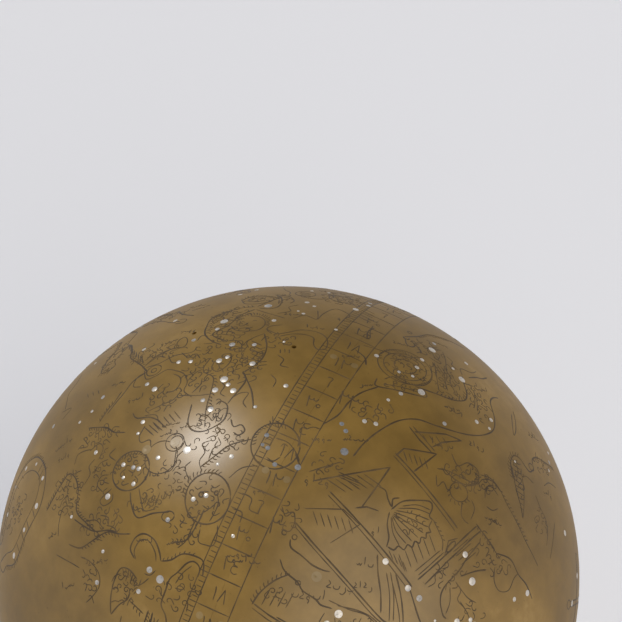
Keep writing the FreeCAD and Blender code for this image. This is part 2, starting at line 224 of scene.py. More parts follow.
def sky(longitude, latitude):
    """Unit vectors to places given in degrees of ecliptic longitude and latitude."""
    longitude = np.radians(longitude)[..., None]
    latitude = np.radians(latitude)[..., None]
    level = np.cos(longitude) * equinox + np.sin(longitude) * solstice
    return np.cos(latitude) * level + np.sin(latitude) * ecliptic_north


def on_figure(placing, across, along):
    """Unit vectors to points given in a figure's own degrees across and along it."""
    longitude, latitude, heading = placing
    centre = sky(np.array(float(longitude)), np.array(float(latitude)))
    east = unit(np.cross(ecliptic_north, centre))
    north = np.cross(centre, east)
    turn = math.radians(heading)
    upward = north * math.cos(turn) + east * math.sin(turn)
    right = east * math.cos(turn) - north * math.sin(turn)
    reach = np.radians(np.hypot(across, along))
    bend = np.sinc(reach / math.pi)[..., None]
    aside = np.radians(across)[..., None] * right + np.radians(along)[..., None] * upward
    return np.cos(reach)[..., None] * centre + bend * aside


def new_piece(name, vertices, faces):
    """A mesh object from vertices and faces, shaded smooth."""
    mesh = bpy.data.meshes.new(name)
    mesh.from_pydata(np.asarray(vertices).tolist(), [], faces)
    mesh.shade_smooth()
    piece = bpy.data.objects.new(name, mesh)
    bpy.context.collection.objects.link(piece)
    return piece


def half_shell(name, side):
    """A closed bowl from the seam's plane to the ecliptic pole on one side."""
    seam_angle = math.asin(seam_gap / 2 / globe_radius)
    outer_angles = np.linspace(seam_angle, math.pi / 2, rings_to_pole + 1)[:-1]
    inner_angles = np.linspace(math.pi / 2, seam_angle, inner_rings + 1)[1:]
    radii = np.append(np.full(rings_to_pole, globe_radius),
                      np.full(inner_rings, globe_radius - shell_wall))
    angles = np.append(outer_angles, inner_angles)
    round_angles = np.arange(steps_round) * 2 * math.pi / steps_round
    across = np.cross(side, equinox)
    level = np.cos(round_angles)[:, None] * equinox + np.sin(round_angles)[:, None] * across
    rings = (np.cos(angles) * radii)[:, None, None] * level + (
        np.sin(angles) * radii)[:, None, None] * side
    outer_pole = rings.shape[0] * steps_round
    vertices = np.vstack([
        rings.reshape(-1, 3), side * globe_radius, side * (globe_radius - shell_wall)])
    faces = []
    for ring in range(len(angles)):
        following = (ring + 1) % len(angles)
        for step in range(steps_round):
            beside = (step + 1) % steps_round
            here = (ring * steps_round + step, ring * steps_round + beside)
            if ring == rings_to_pole - 1:
                faces.append((*here, outer_pole))
                continue
            if ring == rings_to_pole:
                faces.append((here[1], here[0], outer_pole + 1))
            ahead = (following * steps_round + beside, following * steps_round + step)
            faces.append((*here, *ahead))
    return new_piece(name, vertices, faces)


no_rods_way = [0.123, 0.456, 0.789]


def rod_between(start, end, radius, sides=48):
    """Vertices and faces of a closed cylinder from start to end."""
    along = unit(end - start)
    across = unit(np.cross(along, no_rods_way))
    over = np.cross(along, across)
    angles = np.arange(sides) * 2 * math.pi / sides
    circle = np.cos(angles)[:, None] * across + np.sin(angles)[:, None] * over
    vertices = np.vstack([start + circle * radius, end + circle * radius])
    faces = [(i, (i + 1) % sides, sides + (i + 1) % sides, sides + i) for i in range(sides)]
    faces.append(tuple(reversed(range(sides))))
    faces.append(tuple(range(sides, 2 * sides)))
    return vertices, faces


def joined(pieces):
    """One list of vertices and one of faces from several."""
    vertices = []
    faces = []
    for piece_vertices, piece_faces in pieces:
        start = sum(len(block) for block in vertices)
        vertices.append(piece_vertices)
        faces += [tuple(start + corner for corner in face) for face in piece_faces]
    return np.vstack(vertices), faces


def bore(shell, holes):
    """Cut holes, each given as vertices and faces, out of a shell."""
    for hole in holes:
        cutter = new_piece("cutter", *hole)
        cut = shell.modifiers.new("cut", "BOOLEAN")
        cut.object = cutter
        cut.solver = "EXACT"
        evaluated = shell.evaluated_get(bpy.context.evaluated_depsgraph_get())
        mesh = bpy.data.meshes.new_from_object(evaluated)
        shell.modifiers.remove(cut)
        shell.data = mesh
        bpy.data.objects.remove(cutter)
    shell.data.shade_smooth()


def read(items, field, kind=float, width=1):
    """One field of a mesh's vertices, loops or faces as an array."""
    values = np.empty(len(items) * width, dtype=kind)
    items.foreach_get(field, values)
    return values.reshape(-1, width) if width > 1 else values


def round_off_skin(shell):
    """Shade a shell's skin as a true sphere, and the rest by its own faces."""
    places = read(shell.data.vertices, "co", width=3)
    reach = np.linalg.norm(places, axis=1)
    corner_vertex = read(shell.data.loops, "vertex_index", int)
    face_sizes = read(shell.data.polygons, "loop_total", int)
    face_of_corner = np.repeat(np.arange(len(face_sizes)), face_sizes)
    corner_normals = read(shell.data.polygons, "normal", width=3)[face_of_corner]
    radial = places[corner_vertex] / reach[corner_vertex][:, None]
    outward = (corner_normals * radial).sum(axis=1)
    on_skin = (np.abs(reach[corner_vertex] - globe_radius) < 0.01 * mm) & (outward > 0.999)
    corner_normals[on_skin] = radial[on_skin]
    shell.data.normals_split_custom_set(corner_normals.tolist())


spearman = (329, 15, 65)
seat_radius = 0.68 * mm
seat_depth = 1.0 * mm
bush_box = np.array(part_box("south_bush"))
bush_radius = 4.02 * mm
flange_radius = (bush_box[1, 1] - bush_box[0, 1]) / 2
flange_seat = bush_box[1, 0] - 1.0 * mm
spot_face_radius = flange_radius + 0.8 * mm
cut_over = 3 * mm
above_skin = globe_radius + cut_over

shells = []
for name, pole, side in (("north_shell", -south_pole, ecliptic_north),
                         ("south_shell", south_pole, -ecliptic_north)):
    shell = half_shell(name + "_engraved", side)
    holes = [
        rod_between(pole * (globe_radius - cut_over), pole * above_skin, bush_radius),
        rod_between(pole * flange_seat, pole * above_skin, spot_face_radius, 96),
    ]
    if name == "north_shell":
        for across, along in ((-11.4, 15.4), (8.5, 6.8)):
            place = on_figure(spearman, np.array(across), np.array(along))
            seat_foot = place * (globe_radius - seat_depth)
            holes.append(rod_between(seat_foot, place * above_skin, seat_radius, 24))
    bore(shell, holes)
    round_off_skin(shell)
    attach(shell, "globe")
    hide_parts(name)
    shells.append(shell)


def new_material(name):
    """A material, its shader and a Signal of its object coordinates."""
    material = bpy.data.materials.new(name)
    material.use_nodes = True
    tree = material.node_tree
    place = Signal(tree).node("ShaderNodeTexCoord", output="Object")
    return material, tree.nodes["Principled BSDF"], place


def noise(place, scale, detail=2.0, roughness=0.5):
    """Noise from 0 to 1 over the object."""
    values = {"Vector": place, "Scale": scale, "Detail": detail, "Roughness": roughness}
    return place.node("ShaderNodeTexNoise", {}, values)


def feed(shader, name, signal):
    """Link a signal to one of the shader's sockets."""
    signal.tree.links.new(signal.socket, shader.inputs[name])


def raise_by(shader, height, strength, distance):
    """Bump the shader's surface by a height."""
    values = {"Height": height, "Strength": strength, "Distance": distance}
    feed(shader, "Normal", height.node("ShaderNodeBump", {}, values))


def aged_brass(name, dark, warm, pale, base_roughness, wear):
    """Old brass: brown patina over warm metal, rubbed paler in patches, finely scratched."""
    material, shader, place = new_material(name)
    patches = noise(place, 22.0, 4.0, 0.55)
    mottle = noise(place, 140.0, 5.0, 0.62)
    specks = noise(place, 900.0, 3.0, 0.6)
    drawn_out = {"Vector": place, "Rotation": (0.4, 0.9, 0.3), "Scale": (1.0, 14.0, 1.0)}
    stretched = place.node("ShaderNodeMapping", {"vector_type": "POINT"}, drawn_out)
    scratches = noise(stretched, 420.0, 3.0, 0.7)
    patina = patches.clipped(0.34, 0.66) * 0.65 + mottle.clipped(0.30, 0.72) * 0.35
    rubbed = patches.clipped(0.50, 0.80) * mottle.clipped(0.42, 0.75) * wear
    pits = specks.clipped(0.66, 0.78)
    pit_colour = (dark[0] * 0.4, dark[1] * 0.4, dark[2] * 0.4, 1.0)
    colour = patina.mixed((*dark, 1.0), (*warm, 1.0))
    colour = rubbed.mixed(colour, (*pale, 1.0))
    colour = (pits * 0.45).mixed(colour, pit_colour)
    roughness = base_roughness + mottle * 0.10 + pits * 0.12 - rubbed * 0.08 + scratches * 0.06
    height = scratches * 0.35 + specks * 0.35 + mottle * 0.8 + patches * 2.0
    feed(shader, "Base Color", colour)
    feed(shader, "Roughness", roughness)
    raise_by(shader, height, 0.22, 0.06 * mm)
    for socket, value in {
        "Metallic": 0.22,
        "Specular IOR Level": 0.08,
        "Specular Tint": (0.62, 0.50, 0.36, 1.0),
        "Coat Weight": 0.19,
        "Coat IOR": 3.0,
        "Coat Roughness": 0.34,
        "Coat Tint": (0.97, 0.95, 0.92, 1.0),
    }.items():
        shader.inputs[socket].default_value = value
    return material


def clad(pieces, material):
    """Give pieces one material in place of what they have."""
    for piece in pieces:
        piece.data.materials.clear()
        piece.data.materials.append(material)


clad(shells, aged_brass("engraved_brass_skin", (0.168, 0.097, 0.018), (0.298, 0.177, 0.038),
                        (0.400, 0.255, 0.084), 0.42, 1.0))

# ---------------------------------------------------------------------------------------
# The engraver's line: a shallow cut with a raised burr along each side, filled with dark
# lac. Each is a closed strip let into the skin, a little wider where the graver leaned.
burr_height = 0.030 * mm
fill_height = 0.012 * mm
edge_height = -0.02 * mm
cut_floor = -0.150 * mm
burr_place = 0.55
end_width = 0.25
taper_length = 1.2
lean = 0.16
fine_line = 0.36 * mm
bold_line = 0.52 * mm
line_step = 0.5
hand = np.random.default_rng(165)


def smoothed(points, step):
    """A smooth line through points in degrees, sampled about every step."""
    ends = np.vstack([2 * points[0] - points[1], points, 2 * points[-1] - points[-2]])
    line = []
    for before, start, end, after in zip(ends, ends[1:], ends[2:], ends[3:]):
        count = max(2, int(np.linalg.norm(end - start) / step) + 1)
        t = (np.arange(count) / count)[:, None]
        line.append(0.5 * (2 * start + (end - before) * t
                           + (2 * before - 5 * start + 4 * end - after) * t ** 2
                           + (3 * start - before - 3 * end + after) * t ** 3))
    return np.vstack([*line, points[-1]])


def straight(points, step):
    """A line of straight runs through points in degrees, sampled about every step."""
    line = [points[0][None]]
    for start, end in zip(points, points[1:]):
        count = max(1, int(np.linalg.norm(end - start) / step))
        t = (np.arange(1, count + 1) / count)[:, None]
        line.append(start + (end - start) * t)
    return np.vstack(line)


def cut_line(path, width):
    """Vertices and faces of one engraved line along unit vectors on the globe.

    Its section runs over the edge, burr, fill, burr, edge and then the floor of the cut.
    """
    gaps = np.linalg.norm(np.diff(path, axis=0), axis=1)
    path = path[np.append(True, gaps > 1e-6)]
    if len(path) < 2:
        return None
    along = np.gradient(path, axis=0)
    aside = np.cross(path, along)
    aside = aside / np.linalg.norm(aside, axis=1)[:, None]
    run = np.append(0.0, np.cumsum(np.linalg.norm(np.diff(path, axis=0), axis=1))) * globe_radius
    from_end = np.minimum(run, run[-1] - run)
    inward = np.clip(from_end / width / taper_length, 0.0, 1.0)
    taper = np.sqrt(inward) * (1 - end_width) + end_width
    phase, wavelength = hand.uniform(0, 6.3), hand.uniform(5.0, 11.0) * mm
    swell = 1.0 + lean * np.sin(run / wavelength * 2 * math.pi + phase)
    half = width / 2 * taper * swell
    offsets = np.array([-1.0, -burr_place, 0.0, burr_place, 1.0, 0.0])
    heights = np.array([edge_height, burr_height, fill_height, burr_height, edge_height, cut_floor])
    lift = (globe_radius + heights)[None, :, None] * path[:, None, :]
    vertices = lift + (half[:, None] * offsets[None, :])[:, :, None] * aside[:, None, :]
    sides = len(offsets)
    faces = []
    for section in range(len(path) - 1):
        for corner in range(sides):
            beside = (corner + 1) % sides
            low = section * sides
            faces.append((low + corner, low + sides + corner, low + sides + beside, low + beside))
    faces.append(tuple(range(sides)))
    last = (len(path) - 1) * sides
    faces.append(tuple(last + corner for corner in reversed(range(sides))))
    return vertices.reshape(-1, 3), faces


def engraving(name, lines):
    """One piece of engraved work from (path, width) pairs."""
    cuts = [cut_line(path, width) for path, width in lines]
    piece = new_piece(name, *joined([cut for cut in cuts if cut]))
    piece.data.materials.append(line_fill)
    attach(piece, "globe")


line_fill, shader, place = new_material("dark_lac")
worn = noise(place, 160.0, 4.0, 0.6).clipped(0.40, 0.70)
feed(shader, "Base Color", worn.mixed((0.060, 0.036, 0.014, 1.0), (0.120, 0.074, 0.028, 1.0)))
feed(shader, "Roughness", 0.5 + worn * 0.2)
shader.inputs["Metallic"].default_value = 0.15

# ---------------------------------------------------------------------------------------
# The ecliptic band, all the way round: a comb of single degrees, then a row of cells six
# degrees long, each with its degree number, and larger numbers outside every sign.
band_top = 5.4
comb_foot = 3.7
band_foot = -3.2
cell_length = 6
sign_length = 30
comb_clearance = 0.1
short_tooth = 0.35
digit_height = 2.7
sign_number_drop = 3.0
digit_strokes = {
    "0": ["o 0,-0.1 0.14,0.14"],
    "1": ["c -0.10,0.5 0.0,0.2 0.06,-0.5"],
    "2": ["c 0.32,0.5 0.25,0.22 -0.05,0.18 -0.25,0.45 -0.20,0.1 -0.05,-0.5"],
    "3": ["c 0.42,0.5 0.36,0.25 0.15,0.22 0.10,0.42 0.04,0.22 "
          "-0.18,0.2 -0.3,0.48 -0.22,0.1 -0.08,-0.5"],
    "4": ["c 0.22,0.5 -0.18,0.35 -0.12,0.12 0.15,0.05 -0.2,-0.02 -0.22,-0.35 0.05,-0.5 0.28,-0.38"],
    "5": ["o 0,-0.05 0.27,0.36"],
    "6": ["c -0.24,0.42 0.05,0.5 0.2,0.42 0.14,0.0 0.18,-0.5"],
    "7": ["l -0.26,0.5 0.0,-0.5 0.26,0.5"],
    "8": ["l -0.26,-0.5 0.0,0.5 0.26,-0.5"],
    "9": ["o -0.04,0.27 0.17,0.2", "c 0.13,0.3 0.12,-0.05 0.2,-0.5"],
}


def pairs(words):
    """Points from words such as 1.5,-2."""
    return np.array([[float(value) for value in word.split(",")] for word in words])


def turned(points, angle):
    """Points turned about their origin by an angle."""
    x, y = points.T
    return np.column_stack([x * math.cos(angle) - y * math.sin(angle),
                            x * math.sin(angle) + y * math.cos(angle)])


def ring(centre, radii, tilt=0.0, step=0.5):
    """An ellipse about a centre, its first radius tilted by degrees."""
    count = max(10, int(2 * math.pi * max(radii) / step))
    angles = np.linspace(0, 2 * math.pi, count + 1)
    oval = np.column_stack([radii[0] * np.cos(angles), radii[1] * np.sin(angles)])
    return centre + turned(oval, math.radians(tilt))


def fringe(guide, length, spacing):
    """Short hooked strokes leaning off one side of a smooth line."""
    line = smoothed(guide, 0.1)
    run = np.append(0.0, np.cumsum(np.linalg.norm(np.diff(line, axis=0), axis=1)))
    stops = np.arange(spacing / 2, run[-1], abs(spacing))
    roots = np.column_stack([np.interp(stops, run, line[:, axis]) for axis in (0, 1)])
    along = np.gradient(roots, axis=0)
    along = along / np.linalg.norm(along, axis=1)[:, None]
    off = np.column_stack([-along[:, 1], along[:, 0]])
    reach = length * hand.uniform(0.75, 1.2, len(roots))[:, None]
    middles = roots + off * reach * 0.55 + along * abs(length) * 0.15
    tips = roots + off * reach + along * abs(length) * 0.6
    return [smoothed(np.array(stroke), 0.3) for stroke in zip(roots, middles, tips)]


def scrollwork(centre, radii, count, size):
    """Small scrolls and hooks spread evenly over an oval, as a robe or a pelt is filled."""
    golden = math.pi * (3 - math.sqrt(5))
    curls = []
    for number in range(count):
        spread = math.sqrt((number + 0.5) / count)
        way = np.array([math.cos(number * golden), math.sin(number * golden)])
        spot = centre + radii * spread * way
        spot = spot + hand.normal(0, size * 0.2, 2)
        heading = hand.uniform(0, 2 * math.pi)
        sense = hand.choice([-1.0, 1.0])
        turns = hand.uniform(0.35, 0.95)
        angles = np.linspace(0, turns * 2 * math.pi, 9)
        radius = size * np.linspace(0.62, hand.uniform(0.12, 0.4), 9)
        hook = np.column_stack([radius * np.cos(angles), sense * radius * np.sin(angles)])
        tail = hook[0] + [[0.1 * size, -sense * size * hand.uniform(0.4, 1.3)]]
        curls.append(smoothed(spot + turned(np.vstack([tail, hook]), heading), 0.3))
    return curls


made_up_letters = [
    ["0.8,0.5 0.7,0.1 0.4,0 0.1,0.1 0,0.4"],
    ["0.3,1.3 0.35,0.6 0.3,0.1"],
    ["0.8,0.4 0.6,0 0.4,0.3 0.25,0 0,0.2"],
    ["0.6,0.3 0.7,-0.2 0.4,-0.6 0,-0.5"],
    ["0.7,0 0.1,0.05 0.5,0.5 0.2,0.9"],
    ["0.5,0.1 0.25,0.4 0.1,0.1 0.4,-0.1 0.3,-0.5", "0.35,0.8 0.25,0.7"],
    ["0.8,0.2 0.5,0 0.2,0 0,0.2", "0.45,-0.35 0.35,-0.5"],
]


def drawn(text, step=line_step):
    """Lines in degrees and their widths from a drawing, one mark to a line of text.

    c is a smooth line through points, l a line of straight runs, o a ring given by its
    centre, its two radii and perhaps a tilt, and h a row of equal strokes given by the
    first one's ends, the step between strokes and their number. f is a fringe of short
    strokes along a smooth line, given by their length and spacing, and n is a row of made-up
    letters given by its start, their size and their number. s fills an oval with scrollwork,
    given its centre, its two radii, the number of scrolls and their size. Capitals are bold.
    """
    marks = []
    for words in (row.split() for row in text.strip().splitlines()):
        kind = words[0].lower()
        width = bold_line if words[0].isupper() else fine_line
        if kind == "c":
            marks.append((smoothed(pairs(words[1:]), step), width))
        if kind == "l":
            marks.append((straight(pairs(words[1:]), step), width))
        if kind == "o":
            centre, radii = pairs(words[1:3])
            tilt = float(words[3]) if len(words) > 3 else 0.0
            marks.append((ring(centre, radii, tilt, step), width))
        if kind == "h":
            first, last, shift = pairs(words[1:4])
            for number in range(int(words[4])):
                stroke = np.array([first, last]) + shift * number
                marks.append((straight(stroke, step), width))
        if kind == "f":
            (length, spacing), *guide = pairs(words[1:])
            marks += [(stroke, width) for stroke in fringe(np.array(guide), length, spacing)]
        if kind == "s":
            centre, radii, (count, size) = pairs(words[1:])
            curls = scrollwork(centre, radii, int(count), size)
            marks += [(curl, fine_line * 0.9) for curl in curls]
        if kind == "n":
            origin, (size, count) = pairs(words[1:])
            for number in range(int(count)):
                for letter_line in made_up_letters[hand.integers(len(made_up_letters))]:
                    spot = [0.85 * number, hand.uniform(-0.12, 0.12)]
                    line = smoothed((pairs(letter_line.split()) + spot) * size, 0.25)
                    marks.append((line + origin, width))
    return marks


def number_marks(number, placing, height, width):
    """The marks of a number, in eastern digits, centred on a placing."""
    digits = str(number)
    spacing = 0.62
    marks = []
    for index, digit in enumerate(digits):
        middle = (index - (len(digits) - 1) / 2) * spacing
        for line, _ in drawn("\n".join(digit_strokes[digit]), 0.12):
            points = (line + [middle, 0.0]) * height
            marks.append((on_figure(placing, points[:, 0], points[:, 1]), width))
    return marks


def along_band(latitude):
    """A path all the way round at one latitude."""
    longitudes = np.linspace(0, 360, 721)
    return sky(longitudes, np.full(len(longitudes), float(latitude)))


def across_band(longitude, low, high):
    """A path across the band at one longitude."""
    latitudes = np.linspace(low, high, 8)
    return sky(np.full(len(latitudes), float(longitude)), latitudes)


engraving("band_edges", [
    (along_band(latitude), fine_line) for latitude in (band_top, comb_foot, band_foot)])
engraving("band_cell_walls", [
    (across_band(longitude, band_foot, comb_foot), bold_line * 0.8)
    for longitude in range(0, 360, cell_length)])
degree_comb = []
for degree in range(360):
    if degree % cell_length == 0:
        degree_comb.append((across_band(degree, comb_foot, band_top), fine_line))
    else:
        tooth = across_band(degree, comb_foot + comb_clearance, band_top - short_tooth)
        degree_comb.append((tooth, fine_line * 0.8))
engraving("band_degree_comb", degree_comb)
cell_numbers = []
for cell_start in range(0, 360, cell_length):
    placing = (cell_start + cell_length / 2, (comb_foot + band_foot) / 2, 90)
    number = cell_start % sign_length + cell_length
    cell_numbers += number_marks(number, placing, digit_height, fine_line)
engraving("band_cell_numbers", cell_numbers)
sign_numbers = []
for sign_start in range(0, 360, sign_length):
    placing = (sign_start + 1.0, band_foot - sign_number_drop, 90)
    sign_numbers += number_marks(sign_start, placing, digit_height * 1.25, bold_line * 0.85)
engraving("band_sign_numbers", sign_numbers)

# ---------------------------------------------------------------------------------------
# The figures on the side that is seen: each drawn in its own degrees, then laid on the
# globe by ecliptic longitude, latitude and heading, as its star studs are.
def laid(drawing, placing):
    """A drawing's lines on the globe, with their widths."""
    return [(on_figure(placing, points[:, 0], points[:, 1]), width)
            for points, width in drawn(drawing)]


